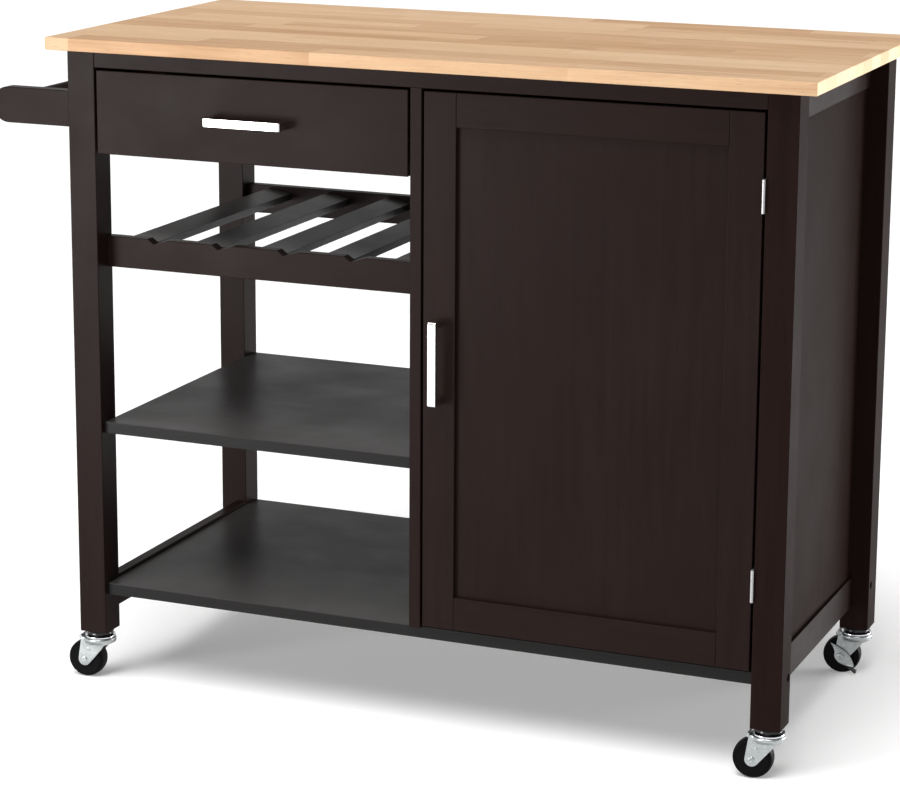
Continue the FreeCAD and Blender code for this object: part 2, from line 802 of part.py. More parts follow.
def build_door():
    panel_tool = block(PANEL_X, PANEL_Y, PANEL_Z)
    y = (FRONT, PANELS_BACK)
    left = board("stile_left_blank", STILE_LEFT_X, y, DOOR_Z, keep=False)
    screws = handle_screws(True, DOOR_HANDLE_X, "Dims.door_handle_high")
    finished("door_stile_left", cut(left, [panel_tool] + screws))
    right = board("stile_right_blank", STILE_RIGHT_X, y, DOOR_Z, keep=False)
    finished("door_stile_right", cut(right, [panel_tool]))
    rail_x = (STILE_LEFT_X[1], STILE_RIGHT_X[0])
    for label, z in (("door_rail_top", RAIL_TOP_Z), ("door_rail_bottom", RAIL_LOW_Z)):
        rail = board(label + "_blank", rail_x, y, z, keep=False)
        finished(label, cut(rail, [panel_tool]))
    panel = block(PANEL_X, PANEL_Y, PANEL_Z)
    finished("door_panel", panel)
    build_handle("door_handle", True, DOOR_HANDLE_X, "Dims.door_handle_high")
    group("door_handle_screws", handle_screws(True, DOOR_HANDLE_X, "Dims.door_handle_high"))


# ---------------------------------------------------------------------------
# Butt hinges: two knuckles and the pin belong to the leg, one to the door
# ---------------------------------------------------------------------------
HINGE_X = f"(({DOOR_X[1]} + {RIGHT_IN}) / 2)"
HINGE_Y = f"({FRONT} - Dims.hinge_barrel_forward)"
KNUCKLE = "(Dims.hinge_tall / 3)"


def hinge_leaf(middle, inner, outer, knuckles):
    """Leaf against a face with the barrel sections that belong to it."""
    low = f"({middle} - Dims.hinge_tall / 2)"
    leaf_front = f"({HINGE_Y} + Dims.hinge_barrel_radius + Dims.hinge_leaf_clear)"
    leaf_y = (leaf_front, f"{FRONT} + Dims.hinge_leaf_wide")
    pieces = [block((inner, outer), leaf_y, (low, f"{low} + Dims.hinge_tall"))]
    for number in knuckles:
        base = f"({low} + {number} * {KNUCKLE} + Dims.hinge_knuckle_gap / 2)"
        tall = f"({KNUCKLE} - Dims.hinge_knuckle_gap)"
        pieces.append(rod("Dims.hinge_barrel_radius", tall, HINGE_X, HINGE_Y, base))
        neck_y = (HINGE_Y, f"{leaf_front} + Dims.join_lap")
        pieces.append(block((inner, outer), neck_y, (base, f"{base} + {tall}")))
    return fused(pieces)


def build_hinges():
    frame_leaves = []
    door_leaves = []
    for middle in ("Dims.hinge_upper_high", "Dims.hinge_lower_high"):
        low = f"({middle} - Dims.hinge_tall / 2)"
        pin = rod("Dims.hinge_pin_radius", "Dims.hinge_tall", HINGE_X, HINGE_Y, low)
        leg_leaf = hinge_leaf(middle, f"{RIGHT_IN} - Dims.hinge_leaf_thick", RIGHT_IN, (0, 2))
        frame_leaves.append(fused([leg_leaf, pin]))
        door_leaf = hinge_leaf(middle, DOOR_X[1], f"{DOOR_X[1]} + Dims.hinge_leaf_thick", (1,))
        bore_radius = "Dims.hinge_pin_radius + Dims.hinge_play"
        bore = rod(bore_radius, "Dims.hinge_tall", HINGE_X, HINGE_Y, low)
        door_leaves.append(cut(door_leaf, [bore]))
    group("hinge_frame_leaves", frame_leaves)
    group("hinge_door_leaves", door_leaves)


def build_catch():
    plate_back = f"({PANELS_BACK} + Dims.catch_plate_thick)"
    catch_z = ("Dims.catch_low", "Dims.catch_low + Dims.catch_tall")
    catch_y = (f"{plate_back} + Dims.catch_air", f"{plate_back} + Dims.catch_air + Dims.catch_deep")
    board("door_catch", (DIVIDER_RIGHT, f"{DIVIDER_RIGHT} + Dims.catch_wide"), catch_y, catch_z)
    plate_left = f"{DOOR_X[0]} + Dims.catch_plate_inset"
    plate = block((plate_left, f"{plate_left} + Dims.catch_wide"), (PANELS_BACK, plate_back), catch_z)
    finished("door_catch_plate", plate)


# ---------------------------------------------------------------------------
# Towel rail on the left end
# ---------------------------------------------------------------------------
def towel_arm(label, y):
    """Flat arm from a leg's outer face, its far end a half round."""
    body = new_body(label)
    sketch = new_sketch(body, "XZ_Plane")
    half = mm("towel_arm_tall") / 2
    centre = FreeCAD.Vector(half - mm("towel_reach"), half, 0)
    top_left = FreeCAD.Vector(centre.x, 2 * half, 0)
    bottom_left = FreeCAD.Vector(centre.x, 0, 0)
    top_right = FreeCAD.Vector(0, 2 * half, 0)
    bottom_right = FreeCAD.Vector(0, 0, 0)
    tip = FreeCAD.Vector(centre.x - half, half, 0)
    closed_outline(
        sketch,
        [
            Part.LineSegment(bottom_left, bottom_right),
            Part.LineSegment(bottom_right, top_right),
            Part.LineSegment(top_right, top_left),
            Part.Arc(top_left, tip, bottom_left),
        ],
    )
    arm = pad(body, sketch, "Dims.towel_arm_thick")
    arm.Reversed = True
    soften(body, arm, "Dims.edge_round")
    place(body, LEFT, y, "Dims.towel_arm_low")
    finished(label, body)


def build_towel_rail():
    front_face = f"({FRONT} + Dims.towel_arm_setback)"
    back_face = f"({BACK} - Dims.towel_arm_setback)"
    towel_arm("towel_arm_front", front_face)
    towel_arm("towel_arm_back", f"({back_face} - Dims.towel_arm_thick)")
    start = f"({front_face} + Dims.towel_arm_thick)"
    length = f"{back_face} - Dims.towel_arm_thick - {start}"
    x = f"{LEFT} - Dims.towel_reach + Dims.towel_rod_inset"
    z = "Dims.towel_arm_low + Dims.towel_arm_tall / 2"
    finished("towel_rod", rod("Dims.towel_rod_radius", length, x, start, z, (0, 1, 0)))


# ---------------------------------------------------------------------------
# Casters.  Each is drawn with its swivel axis on the origin and the wheel trailing along +X.
# ---------------------------------------------------------------------------
def steer(item, corner, ahead="0"):
    """Turn a caster piece to its yaw and put it under its leg, a distance along its trail."""
    item.Placement.Rotation = FreeCAD.Rotation(FreeCAD.Vector(0, 0, 1), mm("caster_yaw"))
    x, y = leg_middle(corner)
    place(
        item,
        f"{x} + cos(Dims.caster_yaw) * ({ahead})",
        f"{y} + sin(Dims.caster_yaw) * ({ahead})",
        "0",
    )


def caster_mount(corner):
    """Fixed half of a caster: dark cap, ball race, kingpin and the stem in the leg."""
    x, y = leg_middle(corner)
    race_low = "(Dims.crown_top + Dims.swivel_gap)"
    pin_low = "(Dims.crown_low - Dims.swivel_gap - Dims.kingpin_head_tall)"
    pieces = [
        rod("Dims.cap_radius", "Dims.caster_height - Dims.race_top", x, y, "Dims.race_top"),
        rod("Dims.race_radius", f"Dims.race_top - {race_low}", x, y, race_low),
        rod("Dims.kingpin_radius", f"{race_low} - {pin_low} + Dims.join_lap", x, y, pin_low),
        rod("Dims.kingpin_head_radius", "Dims.kingpin_head_tall", x, y, pin_low),
        rod("Dims.stem_radius", "Dims.stem_length", x, y, "Dims.caster_height"),
    ]
    return fused(pieces)


def tangent_outline(big, big_radius, small, small_radius):
    """Closed outline round two circles, as two tangent lines and two arcs."""
    heading = math.atan2(small.y - big.y, small.x - big.x)
    lean = math.acos((big_radius - small_radius) / small.distanceToPoint(big))

    def on_big(angle):
        return big + FreeCAD.Vector(math.cos(angle), math.sin(angle), 0) * big_radius

    def on_small(angle):
        return small + FreeCAD.Vector(math.cos(angle), math.sin(angle), 0) * small_radius

    upper = heading + lean
    lower = heading - lean
    return [
        Part.LineSegment(on_big(upper), on_small(upper)),
        Part.Arc(on_small(upper), on_small(heading), on_small(lower)),
        Part.LineSegment(on_small(lower), on_big(lower)),
        Part.Arc(on_big(lower), on_big(heading + math.pi), on_big(upper)),
    ]


def riveted_axle(braked):
    """Axle with a rivet head at each end, longer on the braked side to hold the pedal."""
    half = "Dims.fork_outer / 2"
    extra = "(Dims.pedal_gap + Dims.pedal_thick + Dims.axle_head_gap)" if braked else "0"
    head = ("Dims.axle_head_radius", "Dims.axle_head_tall", "Dims.caster_trail")
    axis = ("Dims.wheel_radius", (0, 1, 0))
    shank = rod("Dims.axle_radius", f"Dims.fork_outer + {extra}", "Dims.caster_trail", f"-{half}", *axis)
    near = rod(*head, f"{half} + {extra}", *axis)
    far = rod(*head, f"-{half} - Dims.axle_head_tall", *axis)
    return [shank, near, far]


def caster_fork(corner, braked):
    """Stamped fork: two tapered cheeks under a round crown, with the riveted axle."""
    label = "caster_fork_" + corner
    cheeks = new_body(label + "_cheeks")
    sketch = new_sketch(cheeks, "XZ_Plane")
    shoulder = mm("fork_shoulder")
    closed_outline(
        sketch,
        tangent_outline(
            FreeCAD.Vector(mm("fork_shoulder_back"), mm("crown_top") - shoulder, 0),
            shoulder,
            FreeCAD.Vector(mm("caster_trail"), mm("wheel_radius"), 0),
            mm("fork_eye_radius"),
        ),
    )
    pad(cheeks, sketch, "Dims.fork_outer", midplane=True)
    gap_half = "Dims.fork_inner / 2"
    wide = "(Dims.caster_trail + Dims.wheel_radius)"
    gap = block((f"-{wide}", wide), (f"-{gap_half}", gap_half), ("0", "Dims.crown_low"))
    forked = cut(cheeks, [gap])
    crown = rod("Dims.crown_radius", "Dims.crown_top - Dims.crown_low", "0", "0", "Dims.crown_low")
    pieces = [forked, crown] + riveted_axle(braked)
    whole = fused(pieces)
    bore_radius = "Dims.kingpin_radius + Dims.running_play"
    bore_tall = "Dims.crown_top - Dims.crown_low + 2 * Dims.cut_over"
    bored = cut(whole, [rod(bore_radius, bore_tall, "0", "0", "Dims.crown_low - Dims.cut_over")])
    steer(bored, corner)
    finished(label, bored)


def caster_wheel(corner):
    """Wheel turned about its axle: crowned tread, dished web and a wider hub with its bore."""
    label = "caster_wheel_" + corner
    body = new_body(label)
    sketch = new_sketch(body, "XY_Plane")
    bore = mm("axle_radius") + mm("running_play")
    hub = mm("hub_width") / 2
    tread = mm("tyre_width") / 2
    web = mm("web_thick") / 2
    radius = mm("wheel_radius")
    rim = radius - mm("rim_deep")
    half = [
        (bore, hub),
        (mm("hub_radius"), hub),
        (mm("hub_radius") + mm("wheel_draft"), web),
        (rim, web),
        (rim + mm("wheel_draft"), tread),
        (radius - mm("tread_shoulder"), tread),
    ]
    right = [FreeCAD.Vector(x, y, 0) for x, y in half]
    left = [FreeCAD.Vector(x, -y, 0) for x, y in half]
    edges = [Part.LineSegment(a, b) for a, b in zip(right, right[1:])]
    crown = FreeCAD.Vector(radius, 0, 0)
    edges.append(Part.Arc(right[-1], crown, left[-1]))
    edges += [Part.LineSegment(b, a) for a, b in reversed(list(zip(left, left[1:])))]
    edges.append(Part.LineSegment(left[0], right[0]))
    closed_outline(sketch, edges)
    turned = body.newObject("PartDesign::Revolution", label + "_turned")
    turned.Profile = sketch
    turned.ReferenceAxis = (sketch, ["V_Axis"])
    turned.Angle = 360
    steer(body, corner, "Dims.caster_trail")
    body.setExpression("Placement.Base.z", "Dims.wheel_radius")
    finished(label, body)


def brake_pedal(corner):
    """Leaf-shaped lever that turns on the axle, its toe carrying a bar in front of the tread."""
    label = "brake_pedal_" + corner
    body = new_body(label + "_leaf")
    sketch = new_sketch(body, "XZ_Plane")
    heel = FreeCAD.Vector(mm("pedal_heel"), 0, 0)
    toe = FreeCAD.Vector(-mm("pedal_toe"), 0, 0)
    above = FreeCAD.Vector(0, mm("pedal_half_width"), 0)
    below = FreeCAD.Vector(0, -mm("pedal_half_width"), 0)
    closed_outline(sketch, [Part.Arc(heel, above, toe), Part.Arc(toe, below, heel)])
    leaf = pad(body, sketch, "Dims.pedal_thick")
    leaf.Reversed = True
    inner = "(Dims.fork_outer / 2 + Dims.pedal_gap)"
    body.setExpression("Placement.Base.y", inner)
    bore = rod("Dims.axle_radius + Dims.running_play", "2 * Dims.fork_outer", "0", "0", "0", (0, 1, 0))
    bored = cut(body, [bore])
    arm = block(
        ("-Dims.shoe_out", "Dims.shoe_arm_lap - Dims.pedal_toe"),
        (inner, f"{inner} + Dims.pedal_thick"),
        ("-Dims.shoe_radius", "Dims.shoe_radius"),
    )
    shoe_start = f"{inner} + Dims.pedal_thick - Dims.shoe_reach"
    shoe = rod("Dims.shoe_radius", "Dims.shoe_reach", "-Dims.shoe_out", shoe_start, "0", (0, 1, 0))
    whole = fused([bored, arm, shoe])
    steer(whole, corner, "Dims.caster_trail")
    tilt = FreeCAD.Rotation(FreeCAD.Vector(0, 1, 0), -mm("pedal_pitch"))
    whole.Placement.Rotation = whole.Placement.Rotation.multiply(tilt)
    whole.setExpression("Placement.Base.z", "Dims.wheel_radius")
    finished(label, whole)


def build_casters():
    group("caster_mounts", [caster_mount(corner) for corner in LEGS])
    for corner in LEGS:
        braked = corner.startswith("back")
        caster_fork(corner, braked)
        caster_wheel(corner)
        if braked:
            brake_pedal(corner)


# ---------------------------------------------------------------------------
# Build, check and write
# ---------------------------------------------------------------------------
build_worktop()
build_legs()
build_bolts()
build_rails()
build_panels()
build_shelves()
build_wine_rack()
build_drawer()
build_door()
build_hinges()
build_catch()
build_towel_rail()
build_casters()
doc.recompute()

for item in doc.Objects:
    if "Invalid" in item.State or "Error" in item.State:
        raise RuntimeError(f"{item.Label}: {item.State}")

os.makedirs("parts", exist_ok=True)
for label, item in SUBPARTS:
    shape = item.Shape
    if shape.isNull() or not shape.isValid():
        raise RuntimeError(f"{label} has no valid shape")
    shape.exportStep(f"parts/{label}.step")
    print(f"{label}: {len(shape.Solids)} solid(s), {shape.Volume / 1000:.1f} cm3")
print(len(SUBPARTS), "sub-parts")
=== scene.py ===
import json
import math

import bmesh
import bpy
from mathutils import Matrix, Vector


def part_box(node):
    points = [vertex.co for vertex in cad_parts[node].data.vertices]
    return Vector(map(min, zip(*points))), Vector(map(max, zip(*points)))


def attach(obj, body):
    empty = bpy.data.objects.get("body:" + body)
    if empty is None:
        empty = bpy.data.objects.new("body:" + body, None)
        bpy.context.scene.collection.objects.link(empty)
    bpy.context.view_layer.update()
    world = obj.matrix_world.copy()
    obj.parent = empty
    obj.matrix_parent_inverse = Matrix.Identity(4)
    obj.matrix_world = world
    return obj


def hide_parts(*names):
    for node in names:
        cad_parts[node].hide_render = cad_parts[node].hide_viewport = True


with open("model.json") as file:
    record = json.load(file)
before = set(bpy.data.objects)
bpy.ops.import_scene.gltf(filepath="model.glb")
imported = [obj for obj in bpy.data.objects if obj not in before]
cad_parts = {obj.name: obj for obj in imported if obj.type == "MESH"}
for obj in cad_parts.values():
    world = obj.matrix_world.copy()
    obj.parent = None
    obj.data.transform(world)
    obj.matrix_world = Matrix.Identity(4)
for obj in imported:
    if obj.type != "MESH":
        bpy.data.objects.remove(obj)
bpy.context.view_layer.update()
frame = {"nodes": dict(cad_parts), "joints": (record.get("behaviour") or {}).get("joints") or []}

NODES = frame["nodes"]
JOINTS = {joint["name"]: joint for joint in frame["joints"]}
CORNERS = ("front_left", "front_right", "back_left", "back_right")
MM = 0.001


# ---------------------------------------------------------------------------
# Node materials
# ---------------------------------------------------------------------------
class Recipe:
    """A node material under construction; each call adds a node and gives back its output."""

    def __init__(self, name):
        self.material = bpy.data.materials.new(name)
        self.material.use_nodes = True
        self.tree = self.material.node_tree
        self.tree.nodes.clear()

    def add(self, kind, output=0, settings=None, **inputs):
        """Add a node; inputs are named by their sockets, with _ for a space."""
        node = self.tree.nodes.new("ShaderNode" + kind)
        for key, setting in (settings or {}).items():
            setattr(node, key, setting)
        for key, given in inputs.items():
            name = key.replace("_", " ")
            socket = node.inputs[int(key[1:])] if key[1:].isdigit() else node.inputs[name]
            if isinstance(given, bpy.types.NodeSocket):
                self.tree.links.new(given, socket)
            else:
                socket.default_value = given
        return node.outputs[output]

    def math(self, operation, a, b=0.0, c=0.0):
        return self.add("Math", settings={"operation": operation}, i0=a, i1=b, i2=c)

    def vector(self, x, y, z):
        return self.add("CombineXYZ", X=x, Y=y, Z=z)

    def parts(self, vector):
        node = self.tree.nodes.new("ShaderNodeSeparateXYZ")
        self.tree.links.new(vector, node.inputs[0])
        return node.outputs[0], node.outputs[1], node.outputs[2]

    def place(self, kind="Object"):
        node = self.tree.nodes.new("ShaderNodeTexCoord")
        return node.outputs[kind]

    def piece_random(self):
        node = self.tree.nodes.new("ShaderNodeObjectInfo")
        return node.outputs["Random"]

    def noise(self, vector, scale=1.0, detail=3.0, roughness=0.5, distortion=0.0):
        return self.add(
            "TexNoise", Vector=vector, Scale=scale, Detail=detail, Roughness=roughness, Distortion=distortion
        )

    def stretched(self, vector, scale, offset=0.0):
        """The vector scaled differently along each axis, and moved by an offset."""
        step = self.vector(offset, offset, offset)
        moved = self.add("VectorMath", settings={"operation": "ADD"}, i0=vector, i1=step)
        return self.add("VectorMath", settings={"operation": "MULTIPLY"}, i0=moved, i1=scale)

    def ramp(self, factor, stops):
        """Colour ramp through (position, colour) stops."""
        node = self.tree.nodes.new("ShaderNodeValToRGB")
        elements = node.color_ramp.elements
        while len(elements) < len(stops):
            elements.new(0.5)
        for element, (position, colour) in zip(elements, stops):
            element.position = position
            element.color = (*colour, 1.0)
        self.tree.links.new(factor, node.inputs[0])
        return node.outputs[0]

    def span(self, factor, low, high, to_low=0.0, to_high=1.0):
        return self.add("MapRange", Value=factor, From_Min=low, From_Max=high, To_Min=to_low, To_Max=to_high)

    def mix(self, factor, a, b, blend="MIX"):
        node = self.tree.nodes.new("ShaderNodeMix")
        node.data_type = "RGBA"
        node.blend_type = blend
        for index, given in ((0, factor), (6, a), (7, b)):
            if isinstance(given, bpy.types.NodeSocket):
                self.tree.links.new(given, node.inputs[index])
            else:
                node.inputs[index].default_value = given if index == 0 else (*given, 1.0)
        return node.outputs[2]

    def bump(self, height, distance, strength=1.0):
        return self.add("Bump", Height=height, Distance=distance, Strength=strength)

    def finish(self, **inputs):
        """End in one Principled shader."""
        shader = self.add("BsdfPrincipled", **inputs)
        output = self.tree.nodes.new("ShaderNodeOutputMaterial")
        self.tree.links.new(shader, output.inputs[0])
        return self.material


GRAIN_SCALE = {"x": (5.0, 90.0, 90.0), "y": (90.0, 5.0, 90.0), "z": (90.0, 90.0, 5.0)}
PORE_SCALE = {"x": (30.0, 700.0, 700.0), "y": (700.0, 30.0, 700.0), "z": (700.0, 700.0, 30.0)}


def lacquered_wood(
    name,
    along,
    sheen=0.045,
    gloss=0.34,
    edge=1.0,
    dark=(0.0105, 0.0056, 0.0049),
    light=(0.0140, 0.0077, 0.0068),
):
    """Dark stained and lacquered wood, its grain running along one axis; an edge below 1 paints shade on the
    side faces.
    """
    make = Recipe(name)
    place = make.place()
    offset = make.math("MULTIPLY", make.piece_random(), 7.0)
    grain = make.noise(make.stretched(place, GRAIN_SCALE[along], offset), 1.0, 5.0, 0.6, 0.4)
    pores = make.noise(make.stretched(place, PORE_SCALE[along], offset), 1.0, 2.0, 0.5)
    cloud = make.noise(place, 6.0, 2.0, 0.5)
    tone = make.math("ADD", make.math("MULTIPLY", grain, 0.7), make.math("MULTIPLY", cloud, 0.3))
    colour = make.ramp(tone, [(0.32, dark), (0.68, light)])
    shade = make.span(pores, 0.30, 0.42, 0.80, 1.0)
    # Painted shade: with edge below 1, faces that do not face up or down are darkened, so board and slat
    # edges read darker than their tops.
    if edge < 1.0:
        _, _, upward = make.parts(make.place("Normal"))
        shade = make.math("MULTIPLY", shade, make.span(make.math("ABSOLUTE", upward), 0.3, 0.7, edge, 1.0))
    colour = make.mix(1.0, colour, make.vector(shade, shade, shade), "MULTIPLY")
    smear = make.noise(place, 11.0, 4.0, 0.6)
    smeared = make.span(smear, 0.3, 0.7, gloss - 0.04, gloss + 0.06)
    rough = make.math("ADD", smeared, make.span(grain, 0.3, 0.7, 0.0, 0.04))
    height = make.math("ADD", make.math("MULTIPLY", grain, 0.6), make.math("MULTIPLY", pores, 0.4))
    return make.finish(
        Base_Color=colour,
        Roughness=rough,
        Specular_IOR_Level=sheen,
        Normal=make.bump(height, 0.0001, 0.2),
    )


STRIP_WIDTH = 41 * MM
SEAM_WIDTH = 0.35 * MM


def butcher_block(name):
    """Oiled rubberwood: glued strips along X with staggered joints, end grain on the two ends."""
    make = Recipe(name)
    place = make.place()
    x, y, z = make.parts(place)
    front_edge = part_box("worktop")[0].y
    across = make.math("DIVIDE", make.math("SUBTRACT", y, front_edge), STRIP_WIDTH)
    strip = make.math("FLOOR", across)
    strip_chance = make.add("TexWhiteNoise", settings={"noise_dimensions": "1D"}, W=strip)
    length = make.math("MULTIPLY_ADD", strip_chance, 0.16, 0.24)
    along = make.math("DIVIDE", make.math("ADD", x, make.math("MULTIPLY", strip_chance, 5.3)), length)
    stave = make.math("FLOOR", along)
    stave_key = make.vector(strip, stave, 0.0)
    chance = make.add("TexWhiteNoise", settings={"noise_dimensions": "3D"}, Vector=stave_key)
    second = make.add(
        "TexWhiteNoise", settings={"noise_dimensions": "3D"}, Vector=make.vector(stave, strip, 4.0)
    )

    shift = make.math("MULTIPLY", chance, 9.0)
    streaks = make.noise(make.stretched(place, (2.2, 60.0, 60.0), shift), 1.0, 5.0, 0.62, 1.2)
    fine = make.noise(make.stretched(place, (14.0, 520.0, 520.0), shift), 1.0, 3.0, 0.6)
    pores = make.noise(make.stretched(place, (55.0, 1500.0, 1500.0), shift), 1.0, 1.0, 0.5)
    swirl = make.noise(make.stretched(place, (3.0, 16.0, 16.0), shift), 1.0, 2.0, 0.5)
    rings = make.math("SINE", make.math("MULTIPLY_ADD", swirl, 46.0, make.math("MULTIPLY", y, 260.0)))
    figure = make.span(rings, -1.0, 1.0)

    tone = make.math("MULTIPLY_ADD", streaks, 0.50, make.math("MULTIPLY", chance, 0.46))
    tone = make.math("MULTIPLY_ADD", figure, 0.10, tone)
    wood = make.ramp(
        tone,
        [
            (0.16, (0.52, 0.285, 0.135)),
            (0.38, (0.665, 0.400, 0.215)),
            (0.62, (0.745, 0.480, 0.275)),
            (0.86, (0.80, 0.545, 0.335)),
        ],
    )
    heart = make.math("MULTIPLY", make.span(second, 0.74, 0.95), make.span(streaks, 0.48, 0.62))
    wood = make.mix(make.math("MULTIPLY", heart, 0.55), wood, (0.46, 0.235, 0.115))
    fine_mask = make.span(fine, 0.25, 0.75, 0.90, 1.05)
    wood = make.mix(1.0, wood, make.vector(fine_mask, fine_mask, fine_mask), "MULTIPLY")
    pore_mask = make.span(pores, 0.24, 0.33, 0.62, 1.0)
    wood = make.mix(1.0, wood, make.vector(pore_mask, pore_mask, pore_mask), "MULTIPLY")

    seam_y = make.math("MULTIPLY", make.math("PINGPONG", across, 0.5), STRIP_WIDTH)
    seam_x = make.math("MULTIPLY", make.math("PINGPONG", along, 0.5), length)
    seam = make.math("MINIMUM", seam_y, seam_x)
    seam_mask = make.span(seam, SEAM_WIDTH * 0.4, SEAM_WIDTH * 1.6, 0.74, 1.0)
    wood = make.mix(1.0, wood, make.vector(seam_mask, seam_mask, seam_mask), "MULTIPLY")

    centre_y = make.math("MULTIPLY_ADD", make.math("SUBTRACT", second, 0.5), 0.09, y)
    above = make.math("SUBTRACT", z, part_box("worktop")[0].z + 0.01)
    centre_z = make.math("MULTIPLY_ADD", chance, 0.07, above)
    sideways = make.math("MULTIPLY_ADD", make.math("PINGPONG", across, 0.5), 0.02, centre_y)
    local = make.vector(0.0, sideways, centre_z)
    distance = make.add("VectorMath", output=1, settings={"operation": "LENGTH"}, i0=local)
    wobble = make.noise(place, 90.0, 3.0, 0.6)
    ring_count = make.math("MULTIPLY", distance, 1900.0)
    year_rings = make.math("SINE", make.math("MULTIPLY_ADD", wobble, 5.0, ring_count))
    end_tone = make.math("MULTIPLY_ADD", year_rings, 0.12, make.math("MULTIPLY_ADD", chance, 0.55, 0.25))
    end_wood = make.ramp(
        end_tone,
        [(0.05, (0.60, 0.36, 0.18)), (0.5, (0.80, 0.55, 0.32)), (0.95, (0.88, 0.66, 0.42))],
    )
    speck = make.noise(place, 1500.0, 1.0, 0.5)
    speck_mask = make.span(speck, 0.30, 0.42, 0.72, 1.0)
    end_wood = make.mix(1.0, end_wood, make.vector(speck_mask, speck_mask, speck_mask), "MULTIPLY")
    end_seam = make.span(seam_y, SEAM_WIDTH * 0.4, SEAM_WIDTH * 1.6, 0.7, 1.0)
    end_wood = make.mix(1.0, end_wood, make.vector(end_seam, end_seam, end_seam), "MULTIPLY")
    normal_x, _, _ = make.parts(make.place("Normal"))
    facing_end = make.span(make.math("ABSOLUTE", normal_x), 0.6, 0.8)
    colour = make.mix(facing_end, wood, end_wood)

    oiled = make.span(make.noise(place, 7.0, 3.0), 0.3, 0.7, 0.0, 0.08)
    rough = make.math("ADD", make.span(fine, 0.3, 0.7, 0.42, 0.52), oiled)
    relief = make.math("ADD", make.math("MULTIPLY", fine, 0.35), make.math("MULTIPLY", pore_mask, 0.4))
    relief = make.math("MULTIPLY_ADD", seam_mask, 0.5, relief)
    return make.finish(
        Base_Color=colour,
        Roughness=rough,
        Specular_IOR_Level=0.25,
        Normal=make.bump(relief, 0.0002, 0.4),
    )


def polished_metal(name, colour, gloss, mottle=0.03):
    """Plated metal with faint handling marks."""
    make = Recipe(name)
    place = make.place()
    smear = make.noise(place, 60.0, 4.0, 0.6)
    scratches = make.noise(make.stretched(place, (900.0, 60.0, 900.0)), 1.0, 2.0, 0.5)
    scratched = make.span(scratches, 0.4, 0.6, 0.0, mottle)
    rough = make.math("ADD", make.span(smear, 0.3, 0.7, gloss, gloss + mottle), scratched)
    tint = make.mix(make.span(smear, 0.3, 0.7), [c * 0.93 for c in colour], colour)
    return make.finish(
        Base_Color=tint,
        Metallic=1.0,
        Roughness=rough,
        Normal=make.bump(smear, 0.00005, 0.1),
    )


def zinc_plate(name):
    """Bright zinc on pressed steel: pale spangle and a slightly uneven gloss."""
    make = Recipe(name)
    place = make.place()
    spangle = make.add("TexVoronoi", Vector=place, Scale=420.0)
    cloud = make.noise(place, 150.0, 4.0, 0.6)
    factor = make.math("MULTIPLY_ADD", spangle, 0.35, make.math("MULTIPLY", cloud, 0.65))
    colour = make.ramp(
        factor,
        [(0.2, (0.30, 0.32, 0.325)), (0.6, (0.42, 0.44, 0.44)), (0.9, (0.54, 0.55, 0.54))],
    )
    rough = make.span(factor, 0.2, 0.8, 0.28, 0.44)
    return make.finish(
        Base_Color=colour,
        Metallic=1.0,
        Roughness=rough,
        Normal=make.bump(cloud, 0.0002, 0.25),
    )


def moulded(name, dark, light, gloss, sheen=0.05, grain=900.0, depth=0.0001):
    """Moulded plastic or rubber with a fine surface texture and a little dust."""
    make = Recipe(name)
    place = make.place()
    texture = make.noise(place, grain, 2.0, 0.5)
    dust = make.noise(place, 130.0, 4.0, 0.65)
    colour = make.ramp(dust, [(0.35, dark), (0.75, light)])
    rough = make.span(dust, 0.3, 0.7, gloss, gloss + 0.14)
    return make.finish(
        Base_Color=colour,
        Roughness=rough,
        Specular_IOR_Level=sheen,
        Normal=make.bump(texture, depth, 0.5),
    )


def powder_coat(name, colour):
    """Epoxy powder coat on sheet steel."""
    make = Recipe(name)
    place = make.place()
    peel = make.noise(place, 700.0, 2.0, 0.5)
    rubbed = make.noise(place, 35.0, 4.0, 0.6)
    tint = make.mix(make.span(rubbed, 0.35, 0.7), [c * 0.82 for c in colour], colour)
    return make.finish(
        Base_Color=tint,
        Roughness=make.span(rubbed, 0.3, 0.7, 0.34, 0.46),
        Normal=make.bump(peel, 0.00012, 0.4),
    )


def pale_floor(name):
    make = Recipe(name)
    place = make.place()
    cloud = make.noise(place, 0.7, 2.0, 0.5)
    colour = make.mix(make.span(cloud, 0.3, 0.7), (0.93, 0.93, 0.93), (0.95, 0.95, 0.95))
    return make.finish(
        Base_Color=colour,
        Roughness=0.6,
        Specular_IOR_Level=0.2,
        Emission_Color=(1.0, 1.0, 1.0, 1.0),
        Emission_Strength=0.15,
    )


LACQUER = {along: lacquered_wood("lacquer_" + along, along) for along in "xyz"}
PANEL_LACQUER = lacquered_wood("lacquer_panel", "z", gloss=0.33)
# Painted sheen: the boards take a lighter grey base than the legs' lacquer, standing in for the reflection
# on their tops; their edges carry painted shade (edge=0.22).
BOARD_LACQUER = lacquered_wood(
    "lacquer_board",
    "x",
    sheen=0.11,
    gloss=0.36,
    edge=0.22,
    dark=(0.040, 0.037, 0.036),
    light=(0.046, 0.043, 0.042),
)
END_LACQUER = lacquered_wood("lacquer_end", "z", sheen=0.010, gloss=0.36)
